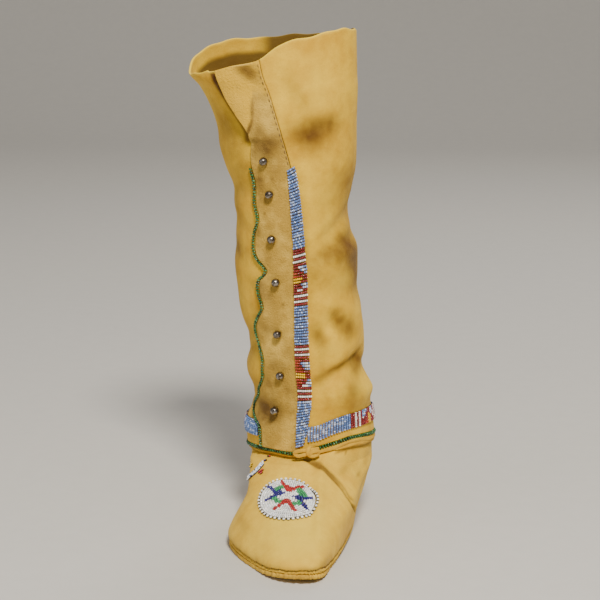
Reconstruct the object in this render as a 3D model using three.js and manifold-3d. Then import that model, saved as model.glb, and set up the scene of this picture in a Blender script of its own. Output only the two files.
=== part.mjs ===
// Beaded high-top moccasin boot for the right foot, standing empty on its sole.
// Millimetres. +Z is up, the toe points to -Y, the inner (big toe) side is +X.
// The origin is on the floor under the middle of the sole.
import * as THREE from "three";
import Module from "manifold-3d";

const wasm = await Module();
wasm.setup();

// Foot
const soleLength = 250;
const ballWidth = 102;
const soleWall = 4;
const soleBevel = 1;
const soleMargin = 1.3;
const toeSpring = 5;
const springStart = 45;
const instepHeight = 64;

// Leg
const legHeight = 418;
const hemHeight = 70;
const legWidth = 100;
const legDepth = 103;
const legAxisX = 3;
const instepSetback = 127;
const hideWall = 1.8;
const clearance = 0.3;
const tuckGap = 0.6;
const tuckHeight = 12;
const tuckStart = 7;
const wrapSlit = 6;

// Beadwork and edging
const beadHeight = 2;
const laneWidth = 12;
const bandWidth = 13.4;
const edgingRadius = 1.3;
const rosetteWidth = 50;
const rosetteLength = 50;
const rosetteX = -3.5;
const rosetteReach = 77;
const motifWidth = 6;

// Buttons and thong
const buttonDiameter = 7;
const shankDiameter = 1.8;
const buttonholeDiameter = 3;
const thongWidth = 2.8;
const thongThickness = 1.8;
const thongEndDiameter = 2.6;
const knotWidth = 22;
const knotHeight = 9.5;
const knotDepth = 7;
const knotX = 7;
const knotRise = 1.2;
const laneEnd = 5;
const beadSeat = 0.45;
const rosetteSeat = 0.8;
const bandSeat = 0.7;
const edgingSink = 0.5;

// Sole outline, rows from toe to heel: place along the sole (-1 toe, 1 heel), middle line,
// reach to the outer side, reach to the inner side; the reaches and the middle are shares
// of half the ball width.
const soleOutline = [
  { along: -1.0, middle: 0.25, outer: 1.0, inner: 0.85 },
  { along: -0.9, middle: 0.23, outer: 1.1, inner: 0.78 },
  { along: -0.74, middle: 0.17, outer: 1.11, inner: 0.79 },
  { along: -0.54, middle: 0.12, outer: 1.13, inner: 0.83 },
  { along: -0.26, middle: 0.07, outer: 1.11, inner: 0.88 },
  { along: 0.06, middle: 0.06, outer: 1.0, inner: 0.91 },
  { along: 0.38, middle: 0.08, outer: 0.88, inner: 0.89 },
  { along: 0.7, middle: 0.11, outer: 0.85, inner: 0.86 },
  { along: 1.0, middle: 0.13, outer: 0.86, inner: 0.87 },
];

// Rings of the foot from the sole up. front and back are shares of half the sole length,
// outer and inner widen the sole outline, the rises are shares of the instep height.
const footRings = [
  { level: 0, front: -0.984, back: 0.985, outer: 0.985, inner: 0.985, frontRise: 0.067, sideRise: 0.067, backRise: 0.067 },
  { level: 0.06, front: -1.0, back: 0.997, outer: 1.02, inner: 1.02, frontRise: 0.125, sideRise: 0.16, backRise: 0.17 },
  { level: 0.13, front: -0.968, back: 1.0, outer: 1.02, inner: 1.05, frontRise: 0.22, sideRise: 0.28, backRise: 0.31 },
  { level: 0.21, front: -0.88, back: 0.995, outer: 1.0, inner: 1.08, frontRise: 0.32, sideRise: 0.41, backRise: 0.46 },
  { level: 0.3, front: -0.744, back: 0.98, outer: 0.96, inner: 1.12, frontRise: 0.44, sideRise: 0.53, backRise: 0.59 },
  { level: 0.39, front: -0.568, back: 0.96, outer: 0.93, inner: 1.15, frontRise: 0.56, sideRise: 0.63, backRise: 0.69 },
  { level: 0.48, front: -0.376, back: 0.94, outer: 0.91, inner: 1.17, frontRise: 0.71, sideRise: 0.73, backRise: 0.77 },
  { level: 0.57, front: -0.192, back: 0.92, outer: 0.9, inner: 1.18, frontRise: 0.86, sideRise: 0.82, backRise: 0.83 },
  { level: 0.64, front: -0.056, back: 0.91, outer: 0.9, inner: 1.19, frontRise: 0.965, sideRise: 0.89, backRise: 0.88 },
];
const footColumns = 52;
const footLevels = [0, 0.06, 0.13, 0.21, 0.3, 0.39, 0.48, 0.57, 0.64, 0.69, 0.74, 0.84, 1];
const tuckLevel = 0.74;

// Sections of the leg from the top down. height is a share of the leg height, outer and
// inner are the reaches from the leg's axis as shares of its width, front and back are
// shares of its depth.
const legSections = [
  { height: 1.01, outer: 0.98, inner: 0.43, front: 0.0, back: 0.93 },
  { height: 0.911, outer: 0.95, inner: 0.44, front: 0.0, back: 0.93 },
  { height: 0.885, outer: 0.86, inner: 0.446, front: 0.0, back: 0.94 },
  { height: 0.844, outer: 0.77, inner: 0.44, front: 0.0, back: 0.95 },
  { height: 0.806, outer: 0.72, inner: 0.437, front: 0.0, back: 0.965 },
  { height: 0.766, outer: 0.7, inner: 0.437, front: 0.0, back: 0.98 },
  { height: 0.725, outer: 0.648, inner: 0.43, front: 0.0, back: 0.99 },
  { height: 0.684, outer: 0.59, inner: 0.398, front: 0.0, back: 1.0 },
  { height: 0.644, outer: 0.595, inner: 0.372, front: 0.0, back: 1.0 },
  { height: 0.603, outer: 0.58, inner: 0.39, front: 0.0, back: 1.0 },
  { height: 0.567, outer: 0.585, inner: 0.446, front: 0.0, back: 1.0 },
  { height: 0.522, outer: 0.578, inner: 0.456, front: 0.0, back: 1.0 },
  { height: 0.481, outer: 0.558, inner: 0.455, front: 0.0, back: 1.0 },
  { height: 0.44, outer: 0.538, inner: 0.488, front: 0.0, back: 1.0 },
  { height: 0.397, outer: 0.495, inner: 0.506, front: 0.0, back: 1.0 },
  { height: 0.356, outer: 0.493, inner: 0.511, front: 0.0, back: 1.0 },
  { height: 0.313, outer: 0.482, inner: 0.512, front: 0.0, back: 1.0 },
  { height: 0.273, outer: 0.45, inner: 0.556, front: 0.0, back: 1.0 },
  { height: 0.234, outer: 0.45, inner: 0.569, front: 0.01, back: 1.01 },
  { height: 0.208, outer: 0.486, inner: 0.588, front: 0.01, back: 1.02 },
  { height: 0.167, outer: 0.486, inner: 0.604, front: 0.01, back: 1.03 },
  { height: 0.14, outer: 0.475, inner: 0.59, front: 0.02, back: 1.03 },
];

// Lines down the front from the top: flap's free edge, seam and half the bead lane. edge
// and seam are distances from the leg's axis as shares of its width, lane is a share of
// the lane width.
const frontLines = [
  { height: 0.947, edge: -0.7, seam: -0.328, lane: 0.1 },
  { height: 0.914, edge: -0.692, seam: -0.298, lane: 0.1 },
  { height: 0.876, edge: -0.63, seam: -0.24, lane: 0.1 },
  { height: 0.837, edge: -0.525, seam: -0.192, lane: 0.1 },
  { height: 0.801, edge: -0.425, seam: -0.148, lane: 0.15 },
  { height: 0.742, edge: -0.414, seam: -0.078, lane: 0.28 },
  { height: 0.703, edge: -0.378, seam: -0.05, lane: 0.34 },
  { height: 0.646, edge: -0.353, seam: -0.028, lane: 0.38 },
  { height: 0.593, edge: -0.38, seam: -0.011, lane: 0.4 },
  { height: 0.565, edge: -0.366, seam: -0.004, lane: 0.43 },
  { height: 0.536, edge: -0.31, seam: 0.002, lane: 0.46 },
  { height: 0.505, edge: -0.336, seam: 0.006, lane: 0.47 },
  { height: 0.464, edge: -0.343, seam: 0.01, lane: 0.46 },
  { height: 0.421, edge: -0.372, seam: 0.013, lane: 0.47 },
  { height: 0.388, edge: -0.366, seam: 0.016, lane: 0.49 },
  { height: 0.352, edge: -0.32, seam: 0.022, lane: 0.5 },
  { height: 0.321, edge: -0.319, seam: 0.031, lane: 0.5 },
  { height: 0.292, edge: -0.34, seam: 0.04, lane: 0.49 },
  { height: 0.254, edge: -0.38, seam: 0.036, lane: 0.46 },
  { height: 0.227, edge: -0.38, seam: 0.022, lane: 0.42 },
  { height: 0.206, edge: -0.355, seam: 0.014, lane: 0.37 },
  { height: 0.172, edge: -0.337, seam: -0.006, lane: 0.2 },
];
const laneTop = 0.735;
const edgingTop = 0.742;

// Rows of the leg from hem to rim; the first ones follow the edges of the ankle band.
const legRows = [0, 0.025, 0.045, 0.065, 0.11, 0.155, 0.2, 0.245, 0.29, 0.335, 0.38, 0.425, 0.47,
  0.515, 0.56, 0.605, 0.65, 0.695, 0.74, 0.785, 0.83, 0.875, 0.92, 0.96, 1];
const flapColumns = 7;
const legColumns = 42;

// Rim of the leg round it: turn is the place round the leg (0 front, 0.25 inner side),
// height is a share of the leg height.
const rimLine = [
  { turn: -0.5, height: 0.974 },
  { turn: -0.42, height: 0.967 },
  { turn: -0.34, height: 0.952 },
  { turn: -0.28, height: 0.926 },
  { turn: -0.245, height: 0.911 },
  { turn: -0.18, height: 0.914 },
  { turn: -0.11, height: 0.921 },
  { turn: -0.069, height: 0.932 },
  { turn: -0.017, height: 0.944 },
  { turn: 0.025, height: 0.973 },
  { turn: 0.072, height: 0.988 },
  { turn: 0.126, height: 0.998 },
  { turn: 0.18, height: 1.0 },
  { turn: 0.25, height: 0.997 },
  { turn: 0.33, height: 0.99 },
  { turn: 0.42, height: 0.979 },
  { turn: 0.5, height: 0.974 },
];

// Hem of the leg and the middle of the ankle band round it, as shares of the hem height.
const hemLine = [
  { turn: -0.5, hem: 0.97, band: 1.19 },
  { turn: -0.35, hem: 0.95, band: 1.18 },
  { turn: -0.243, hem: 0.95, band: 1.19 },
  { turn: -0.17, hem: 0.99, band: 1.21 },
  { turn: -0.1, hem: 1.01, band: 1.23 },
  { turn: -0.032, hem: 1.0, band: 1.22 },
  { turn: 0.024, hem: 1.07, band: 1.24 },
  { turn: 0.067, hem: 1.12, band: 1.31 },
  { turn: 0.121, hem: 1.16, band: 1.35 },
  { turn: 0.236, hem: 1.11, band: 1.34 },
  { turn: 0.36, hem: 1.03, band: 1.25 },
  { turn: 0.5, hem: 0.97, band: 1.19 },
];

// Folds of the leg, depth and height spread as shares of the leg width and height; a fold
// that leans climbs by its lean for each share of a turn.
const legFolds = [
  { turn: 0.13, height: 0.6, turnSpread: 0.09, heightSpread: 0.022, depth: -0.045, lean: 0.35 },
  { turn: 0.12, height: 0.555, turnSpread: 0.1, heightSpread: 0.025, depth: 0.025, lean: 0.35 },
  { turn: 0.12, height: 0.33, turnSpread: 0.08, heightSpread: 0.018, depth: -0.04, lean: 0.4 },
  { turn: 0.15, height: 0.275, turnSpread: 0.09, heightSpread: 0.03, depth: 0.03, lean: 0.1 },
  { turn: 0.08, height: 0.42, turnSpread: 0.05, heightSpread: 0.02, depth: -0.025, lean: 0.5 },
  { turn: -0.2, height: 0.62, turnSpread: 0.1, heightSpread: 0.03, depth: -0.03, lean: -0.2 },
  { turn: -0.22, height: 0.36, turnSpread: 0.1, heightSpread: 0.02, depth: -0.035, lean: 0.2 },
  { turn: -0.24, height: 0.26, turnSpread: 0.1, heightSpread: 0.02, depth: -0.03, lean: -0.2 },
  { turn: 0.42, height: 0.52, turnSpread: 0.12, heightSpread: 0.03, depth: -0.045, lean: 0.15 },
  { turn: -0.4, height: 0.4, turnSpread: 0.12, heightSpread: 0.03, depth: -0.045, lean: -0.15 },
  { turn: 0.45, height: 0.3, turnSpread: 0.13, heightSpread: 0.025, depth: -0.04, lean: 0.1 },
];

// Folds of the foot: the quarter's raised edge across the inner side of the vamp, the
// trough beside it and two soft dents, depth as a share of the instep height.
const footFolds = [
  { turn: 0.05, level: 0.5, turnSpread: 0.018, levelSpread: 0.2, depth: 0.04, lean: 0.12 },
  { turn: 0.03, level: 0.5, turnSpread: 0.016, levelSpread: 0.2, depth: -0.03, lean: 0.12 },
  { turn: -0.3, level: 0.4, turnSpread: 0.08, levelSpread: 0.12, depth: -0.03, lean: 0 },
  { turn: 0.33, level: 0.42, turnSpread: 0.08, levelSpread: 0.12, depth: -0.03, lean: 0 },
];

// Buttons from the top: height as a share of the leg height, side as a share of the leg
// width from its axis.
const buttonPlaces = [
  { height: 0.7505, side: -0.282 },
  { height: 0.686, side: -0.234 },
  { height: 0.598, side: -0.219 },
  { height: 0.513, side: -0.186 },
  { height: 0.408, side: -0.172 },
  { height: 0.325, side: -0.15 },
  { height: 0.25, side: -0.194 },
];

// The short lane on the outer side of the foot, from its upper end down.
const motifLine = [
  { turn: -0.105, level: 0.6 },
  { turn: -0.135, level: 0.53 },
  { turn: -0.165, level: 0.46 },
];

// The thong's loose end, from the inner side of the ankle forward.
const thongEndLine = [
  { turn: 0.3, level: 0.71 },
  { turn: 0.26, level: 0.708 },
  { turn: 0.22, level: 0.705 },
  { turn: 0.18, level: 0.7 },
  { turn: 0.14, level: 0.69 },
  { turn: 0.1, level: 0.675 },
  { turn: 0.075, level: 0.665 },
];

const halfSole = soleLength / 2;
const halfBall = ballWidth / 2;
const legFront = instepSetback - halfSole;
const lapStep = hideWall + clearance;

function mix(a, b, share) {
  return a + (b - a) * share;
}

function smooth(share) {
  const s = Math.min(1, Math.max(0, share));
  return s * s * (3 - 2 * s);
}

// Value of one column of a table at a place along another, through its rows on one
// smooth curve. Rows may rise or fall along the key.
function readTable(rows, key, at, column) {
  const rising = rows[rows.length - 1][key] > rows[0][key];
  const side = rising ? 1 : -1;
  let i = 0;
  while (i < rows.length - 2 && side * at > side * rows[i + 1][key]) {
    i += 1;
  }
  const here = rows[i];
  const next = rows[i + 1];
  const before = rows[Math.max(0, i - 1)];
  const after = rows[Math.min(rows.length - 1, i + 2)];
  const span = next[key] - here[key];
  const s = Math.min(1, Math.max(0, (at - here[key]) / span));
  const slopeHere = (next[column] - before[column]) / (next[key] - before[key]);
  const slopeNext = (after[column] - here[column]) / (after[key] - here[key]);
  const s2 = s * s;
  const s3 = s2 * s;
  return (
    (2 * s3 - 3 * s2 + 1) * here[column] +
    (s3 - 2 * s2 + s) * span * slopeHere +
    (3 * s2 - 2 * s3) * next[column] +
    (s3 - s2) * span * slopeNext
  );
}

function wrapTurn(turn) {
  return turn - Math.round(turn);
}

function foldSum(folds, turn, key, at, spreadKey) {
  let sum = 0;
  for (const fold of folds) {
    const across = wrapTurn(turn - fold.turn);
    const up = at - fold[key] - fold.lean * across;
    const far = (across / fold.turnSpread) ** 2 + (up / fold[spreadKey]) ** 2;
    sum += fold.depth * Math.exp(-far);
  }
  return sum;
}

function rimAt(turn) {
  return legHeight * readTable(rimLine, "turn", wrapTurn(turn), "height");
}

function hemAt(turn) {
  return hemHeight * readTable(hemLine, "turn", wrapTurn(turn), "hem");
}

function bandAt(turn) {
  return hemHeight * readTable(hemLine, "turn", wrapTurn(turn), "band");
}

// Ellipse of the leg at a height: its middle and its half widths.
function legOval(z) {
  const share = z / legHeight;
  const outer = legWidth * readTable(legSections, "height", share, "outer");
  const inner = legWidth * readTable(legSections, "height", share, "inner");
  const front = legFront + legDepth * readTable(legSections, "height", share, "front");
  const back = legFront + legDepth * readTable(legSections, "height", share, "back");
  return {
    x: legAxisX + (inner - outer) / 2,
    y: (front + back) / 2,
    halfX: (inner + outer) / 2,
    halfY: (back - front) / 2,
  };
}

// Point of the leg's outer face at a place round it and a height, moved out by a distance.
function legPoint(turn, z, out) {
  const oval = legOval(z);
  const angle = 2 * Math.PI * turn;
  const normal = new THREE.Vector3(Math.sin(angle) / oval.halfX, -Math.cos(angle) / oval.halfY, 0);
  normal.normalize();
  const fold = legWidth * foldSum(legFolds, turn, "height", z / legHeight, "heightSpread");
  return new THREE.Vector3(
    oval.x + oval.halfX * Math.sin(angle),
    oval.y - oval.halfY * Math.cos(angle),
    z,
  ).addScaledVector(normal, out + fold);
}

// Place round the leg of a line that lies at a side distance on its front.
function turnAtSide(side, z) {
  const oval = legOval(z);
  const share = Math.max(-0.98, Math.min(0.98, (legAxisX + side - oval.x) / oval.halfX));
  return Math.asin(share) / (2 * Math.PI);
}

function edgeTurn(z) {
  return turnAtSide(legWidth * readTable(frontLines, "height", z / legHeight, "edge"), z);
}

function seamTurn(z) {
  return turnAtSide(legWidth * readTable(frontLines, "height", z / legHeight, "seam"), z);
}

function laneTurn(z, side) {
  const seam = legWidth * readTable(frontLines, "height", z / legHeight, "seam");
  const half = laneWidth * readTable(frontLines, "height", z / legHeight, "lane");
  return turnAtSide(seam + side * half, z);
}

// How far the wrap lies pressed in under the flap: 0 at the free edge, 1 at the seam.
function lapShare(turn, z) {
  const edge = edgeTurn(z);
  return smooth((turn - edge) / (seamTurn(z) - edge));
}

function turnLength(length, z) {
  const oval = legOval(z);
  return length / (2 * Math.PI * oval.halfX);
}

// Height and turn of a line of the front at a share of the way from hem to rim.
function onLine(lineTurn, share) {
  let turn = 0;
  let z = 0;
  for (let i = 0; i < 6; i += 1) {
    z = mix(hemAt(turn), rimAt(turn), share);
    turn = lineTurn(z);
  }
  return turn;
}

function springAt(y) {
  const past = Math.max(0, (-y - (halfSole - springStart)) / springStart);
  return toeSpring * past * past;
}

function soleSide(along, sideSign) {
  const reach = readTable(soleOutline, "along", along, sideSign > 0 ? "inner" : "outer");
  return halfBall * reach;
}

function ringPoint(turn, level) {
  const angle = 2 * Math.PI * turn;
  const along = -Math.cos(angle);
  const across = Math.sin(angle);
  const at = Math.min(level, footRings[footRings.length - 1].level);
  const ring = (column) => readTable(footRings, "level", at, column);
  const front = halfSole * ring("front");
  const back = halfSole * ring("back");
  const widen = across > 0 ? ring("inner") : ring("outer");
  const y = mix(front, back, (along + 1) / 2);
  const place = Math.max(-1, Math.min(1, y / halfSole));
  const open = Math.abs(across) ** 0.8;
  const middle = halfBall * readTable(soleOutline, "along", place, "middle");
  const x = middle + Math.sign(across) * open * widen * soleSide(mix(along, place, 0.4), across);
  const side = instepHeight * ring("sideRise");
  const end = instepHeight * (along < 0 ? ring("frontRise") : ring("backRise"));
  return new THREE.Vector3(x, y, springAt(y) + mix(side, end, along * along));
}

// How far the foot's ankle is held in by the flap's lap.
function ankleLap(turn, z) {
  const seam = seamTurn(z);
  const past = turn > seam ? 1 - smooth((turn - seam) / 0.05) : lapShare(turn, z);
  return lapStep * past;
}

function anklePoint(turn, z, out) {
  const local = wrapTurn(turn);
  const lap = Math.abs(local) < 0.25 ? ankleLap(local, Math.max(z, hemHeight)) : 0;
  return legPoint(turn, z, out - hideWall - tuckGap - lap);
}

// Point of the foot's outer face: rings from the sole up, then the ankle, which runs up
// inside the leg.
function footPoint(turn, level) {
  const up = Math.max(0, (level - tuckLevel) / (1 - tuckLevel));
  const z = hemAt(turn) + mix(-tuckStart, tuckHeight, up);
  const ankle = anklePoint(turn, z, 0);
  const start = footRings[footRings.length - 1].level;
  const share = smooth((level - start) / (tuckLevel - start));
  if (share === 1) {
    return ankle;
  }
  const point = ringPoint(turn, level).lerp(ankle, share);
  const fold = foldSum(footFolds, turn, "level", level, "levelSpread");
  const fade = 1 - share;
  const out = new THREE.Vector3(Math.sin(2 * Math.PI * turn), -0.3 * Math.cos(2 * Math.PI * turn), 0.9);
  return point.addScaledVector(out.normalize(), instepHeight * fold * fade * smooth(level / 0.15));
}

function footNormal(turn, level) {
  const step = 0.004;
  const low = Math.max(0, level - step);
  const high = Math.min(1, level + step);
  const round = footPoint(turn + step, level).sub(footPoint(turn - step, level));
  const rise = footPoint(turn, high).sub(footPoint(turn, low));
  return round.cross(rise).normalize();
}

function footOffset(turn, level, out) {
  return footPoint(turn, level).addScaledVector(footNormal(turn, level), out);
}

// Place on the vamp under a point of the plan.
function vampPlace(x, y) {
  let turn = 0.0;
  let level = 0.4;
  for (let i = 0; i < 30; i += 1) {
    const here = footPoint(turn, level);
    const step = 0.002;
    const round = footPoint(turn + step, level).sub(here).divideScalar(step);
    const rise = footPoint(turn, level + step).sub(here).divideScalar(step);
    const det = round.x * rise.y - round.y * rise.x;
    const dx = x - here.x;
    const dy = y - here.y;
    turn += (0.7 * (dx * rise.y - dy * rise.x)) / det;
    level += (0.7 * (dy * round.x - dx * round.y)) / det;
    level = Math.min(0.66, Math.max(0.05, level));
    turn = Math.min(0.2, Math.max(-0.2, turn));
  }
  return { turn, level };
}

// A closed mesh from points and triangles, turned to face out.
function solid(name, points, faces, colour, roughness, metalness) {
  const positions = new Float32Array(points.length * 3);
  points.forEach((point, i) => positions.set([point.x, point.y, point.z], i * 3));
  let volume = 0;
  for (const [a, b, c] of faces) {
    volume += points[a].dot(points[b].clone().cross(points[c]));
  }
  const turned = volume > 0 ? faces : faces.map(([a, b, c]) => [a, c, b]);
  const geometry = new THREE.BufferGeometry();
  geometry.setAttribute("position", new THREE.BufferAttribute(positions, 3));
  geometry.setIndex(turned.flat());
  geometry.computeVertexNormals();
  const material = new THREE.MeshStandardMaterial({ color: colour, roughness, metalness });
  const mesh = new THREE.Mesh(geometry, material);
  mesh.name = name;
  return mesh;
}

function quad(faces, a, b, c, d) {
  faces.push([a, b, c], [a, c, d]);
}

// A wall between an outer and an inner face, each a grid of columns and rows. Closed
// walls run all the way round; open ones get end faces.
function wallSolid(name, columns, rows, closed, outer, inner, colour, roughness) {
  const points = [];
  const faces = [];
  for (const face of [outer, inner]) {
    for (const v of rows) {
      columns.forEach((u) => points.push(face(u, v)));
    }
  }
  const across = columns.length;
  const sheet = across * rows.length;
  const steps = closed ? across : across - 1;
  for (let j = 0; j < rows.length - 1; j += 1) {
    for (let i = 0; i < steps; i += 1) {
      const a = j * across + i;
      const b = j * across + ((i + 1) % across);
      quad(faces, a, b, b + across, a + across);
      quad(faces, sheet + a, sheet + a + across, sheet + b + across, sheet + b);
    }
  }
  for (let i = 0; i < steps; i += 1) {
    const next = (i + 1) % across;
    const top = sheet - across;
    quad(faces, i, sheet + i, sheet + next, next);
    quad(faces, top + i, top + next, sheet + top + next, sheet + top + i);
  }
  if (!closed) {
    for (let j = 0; j < rows.length - 1; j += 1) {
      const a = j * across;
      const b = a + across - 1;
      quad(faces, a, a + across, sheet + a + across, sheet + a);
      quad(faces, b, sheet + b, sheet + b + across, b + across);
    }
  }
  return solid(name, points, faces, colour, roughness, 0);
}

function spread(count, from, to) {
  return Array.from({ length: count + 1 }, (_, i) => mix(from, to, i / count));
}

function roundSteps(count) {
  return Array.from({ length: count }, (_, i) => i / count);
}

// A rope or thong along a line of points, with an oval section of half sizes out and up.
function ropeSolid(name, line, outward, closed, halfOut, halfUp, sides, colour, taper) {
  const points = [];
  const faces = [];
  const count = line.length;
  line.forEach((point, i) => {
    const before = line[closed ? (i + count - 1) % count : Math.max(0, i - 1)];
    const after = line[closed ? (i + 1) % count : Math.min(count - 1, i + 1)];
    const along = after.clone().sub(before).normalize();
    const out = outward[i].clone().addScaledVector(along, -outward[i].dot(along)).normalize();
    const up = along.clone().cross(out);
    const size = taper ? taper(i / (count - 1)) : 1;
    for (let k = 0; k < sides; k += 1) {
      const angle = (2 * Math.PI * (k + 0.5)) / sides;
      points.push(
        point.clone()
          .addScaledVector(out, halfOut * size * Math.cos(angle))
          .addScaledVector(up, halfUp * size * Math.sin(angle)),
      );
    }
  });
  const steps = closed ? count : count - 1;
  for (let i = 0; i < steps; i += 1) {
    for (let k = 0; k < sides; k += 1) {
      const a = i * sides + k;
      const b = i * sides + ((k + 1) % sides);
      const c = ((i + 1) % count) * sides + ((k + 1) % sides);
      const d = ((i + 1) % count) * sides + k;
      quad(faces, a, b, c, d);
    }
  }
  if (!closed) {
    for (let k = 1; k < sides - 1; k += 1) {
      const last = (count - 1) * sides;
      faces.push([0, k + 1, k], [last, last + k, last + k + 1]);
    }
  }
  return solid(name, points, faces, colour, 0.6, 0);
}

const hideColour = 0xc9a45c;
const flapColour = 0xc6a46a;
const soleColour = 0xb8924f;
const edgingColour = 0x2a5238;
const laneColour = 0x8fa9d6;
const rosetteColour = 0xe4e4ea;
const metalColour = 0x8c8878;
const thongColour = 0xc8a468;

// Sole: strips across it between the two sides of its outline, flat under heel and ball.
function makeSole() {
  const stations = 30;
  const levels = [
    { inset: soleBevel, up: 0 },
    { inset: 0, up: soleBevel },
    { inset: 0, up: soleWall },
  ];
  const points = [];
  const faces = [];
  const ring = 2 * stations;
  for (const { inset, up } of levels) {
    for (let i = 0; i < ring; i += 1) {
      const place = ringPoint(i / ring, 0);
      const grow = soleMargin - inset;
      const away = new THREE.Vector3(place.x, place.y, 0).normalize();
      const y = place.y + away.y * grow;
      points.push(new THREE.Vector3(place.x + away.x * grow, y, springAt(y) + up));
    }
  }
  for (let j = 0; j < levels.length - 1; j += 1) {
    for (let i = 0; i < ring; i += 1) {
      const next = (i + 1) % ring;
      quad(faces, j * ring + i, j * ring + next, (j + 1) * ring + next, (j + 1) * ring + i);
    }
  }
  const top = (levels.length - 1) * ring;
  for (let i = 0; i < stations; i += 1) {
    const right = i;
    const rightNext = i + 1;
    const left = (ring - i) % ring;
    const leftNext = ring - i - 1;
    if (i === 0) {
      faces.push([right, leftNext, rightNext], [top + right, top + rightNext, top + leftNext]);
    } else if (i === stations - 1) {
      faces.push([right, left, rightNext], [top + right, top + rightNext, top + left]);
    } else {
      quad(faces, right, left, leftNext, rightNext);
      quad(faces, top + right, top + rightNext, top + leftNext, top + left);
    }
  }
  return solid("sole", points, faces, soleColour, 0.8, 0);
}

function makeFoot() {
  return wallSolid(
    "foot_upper",
    roundSteps(footColumns),
    footLevels,
    true,
    (u, v) => footPoint(u, v),
    (u, v) => footOffset(u, v, -hideWall),
    hideColour,
    0.85,
  );
}

// The leg runs from the seam round the inner side, back and outer side and under the flap.
// Columns up to 1 lead round to the flap's free edge, those past 1 lie under the flap.
function legPlace(u, v) {
  const seam = onLine(seamTurn, v);
  const edge = onLine(edgeTurn, v);
  const z0 = mix(hemAt(seam), rimAt(seam), v);
  const start = seam + turnLength(clearance / 2, z0);
  const past = Math.min(u - 1, 1 - turnLength(wrapSlit, z0) / (seam - edge));
  const turn = u <= 1 ? mix(start, 1 + edge, u) : 1 + mix(edge, seam, past);
  const z = mix(hemAt(turn), rimAt(turn), v);
  return { turn, z, lap: u > 1 ? lapStep * lapShare(wrapTurn(turn), z) : 0 };
}

function makeLeg() {
  const under = spread(flapColumns, 1, 2).slice(1, flapColumns);
  return wallSolid(
    "leg_shaft",
    [...spread(legColumns, 0, 1), ...under],
    legRows,
    false,
    (u, v) => {
      const at = legPlace(u, v);
      return legPoint(at.turn, at.z, -at.lap);
    },
    (u, v) => {
      const at = legPlace(u, v);
      return legPoint(at.turn, at.z, -at.lap - hideWall);
    },
    hideColour,
    0.85,
  );
}

function flapOut(turn, z) {
  return lapStep * (1 - lapShare(turn, z));
}

function flapPlace(u, v) {
  const edge = onLine(edgeTurn, v);
  const seam = onLine(seamTurn, v);
  const z0 = mix(hemAt(seam), rimAt(seam), v);
  const turn = mix(edge, seam - turnLength(clearance / 2, z0), u);
  return { turn, z: mix(hemAt(turn), rimAt(turn), v) };
}

// Height on the flap's surface that the lane lies on: the flap's lap left of the seam,
// none on the leg right of it.
function frontOut(turn, z) {
  return turn < seamTurn(z) ? flapOut(turn, z) : 0;
}

function legNormal(turn, z) {
  return legPoint(turn, z, 1).sub(legPoint(turn, z, 0)).normalize();
}

function buttonFrame(place) {
  const z = legHeight * place.height;
  const turn = turnAtSide(legWidth * place.side, z);
  const face = legPoint(turn, z, flapOut(turn, z));
  return { face, normal: legNormal(turn, z) };
}

function turnedTo(geometry, origin, direction) {
  const facing = new THREE.Quaternion().setFromUnitVectors(new THREE.Vector3(0, 1, 0), direction);
  geometry.applyQuaternion(facing);
  geometry.translate(origin.x, origin.y, origin.z);
  return geometry;
}

// A geometry as a manifold body, its shared corners joined.
function bodyOf(geometry) {
  const position = geometry.getAttribute("position");
  const index = geometry.getIndex();
  const count = index ? index.count : position.count;
  const corners = new Map();
  const places = [];
  const triangles = [];
  for (let i = 0; i < count; i += 1) {
    const at = index ? index.getX(i) : i;
    const xyz = [position.getX(at), position.getY(at), position.getZ(at)];
    const key = xyz.map((value) => Math.round(value * 1e4)).join(",");
    if (!corners.has(key)) {
      corners.set(key, places.length / 3);
      places.push(...xyz);
    }
    triangles.push(corners.get(key));
  }
  const kept = [];
  for (let i = 0; i < triangles.length; i += 3) {
    const [a, b, c] = triangles.slice(i, i + 3);
    if (a !== b && b !== c && c !== a) {
      kept.push(a, b, c);
    }
  }
  return new wasm.Manifold(
    new wasm.Mesh({
      numProp: 3,
      vertProperties: new Float32Array(places),
      triVerts: new Uint32Array(kept),
    }),
  );
}

function meshOf(body, name, colour, roughness, metalness) {
  const mesh = body.getMesh();
  const points = [];
  for (let i = 0; i < mesh.vertProperties.length; i += mesh.numProp) {
    points.push(new THREE.Vector3(...mesh.vertProperties.slice(i, i + 3)));
  }
  const faces = [];
  for (let i = 0; i < mesh.triVerts.length; i += 3) {
    faces.push([mesh.triVerts[i], mesh.triVerts[i + 1], mesh.triVerts[i + 2]]);
  }
  return solid(name, points, faces, colour, roughness, metalness);
}

// The flap, with a hole under each button for its shank.
function makeFlap() {
  const plain = wallSolid(
    "button_flap",
    spread(flapColumns, 0, 1),
    legRows,
    false,
    (u, v) => {
      const at = flapPlace(u, v);
      return legPoint(at.turn, at.z, flapOut(at.turn, at.z));
    },
    (u, v) => {
      const at = flapPlace(u, v);
      return legPoint(at.turn, at.z, flapOut(at.turn, at.z) - hideWall);
    },
    flapColour,
    0.95,
  );
  let body = bodyOf(plain.geometry);
  for (const place of buttonPlaces) {
    const { face, normal } = buttonFrame(place);
    const radius = buttonholeDiameter / 2;
    const drill = new THREE.CylinderGeometry(radius, radius, 6 * hideWall, 8);
    body = body.subtract(bodyOf(turnedTo(drill, face, normal)));
  }
  return meshOf(body, "button_flap", flapColour, 0.95, 0);
}

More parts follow.
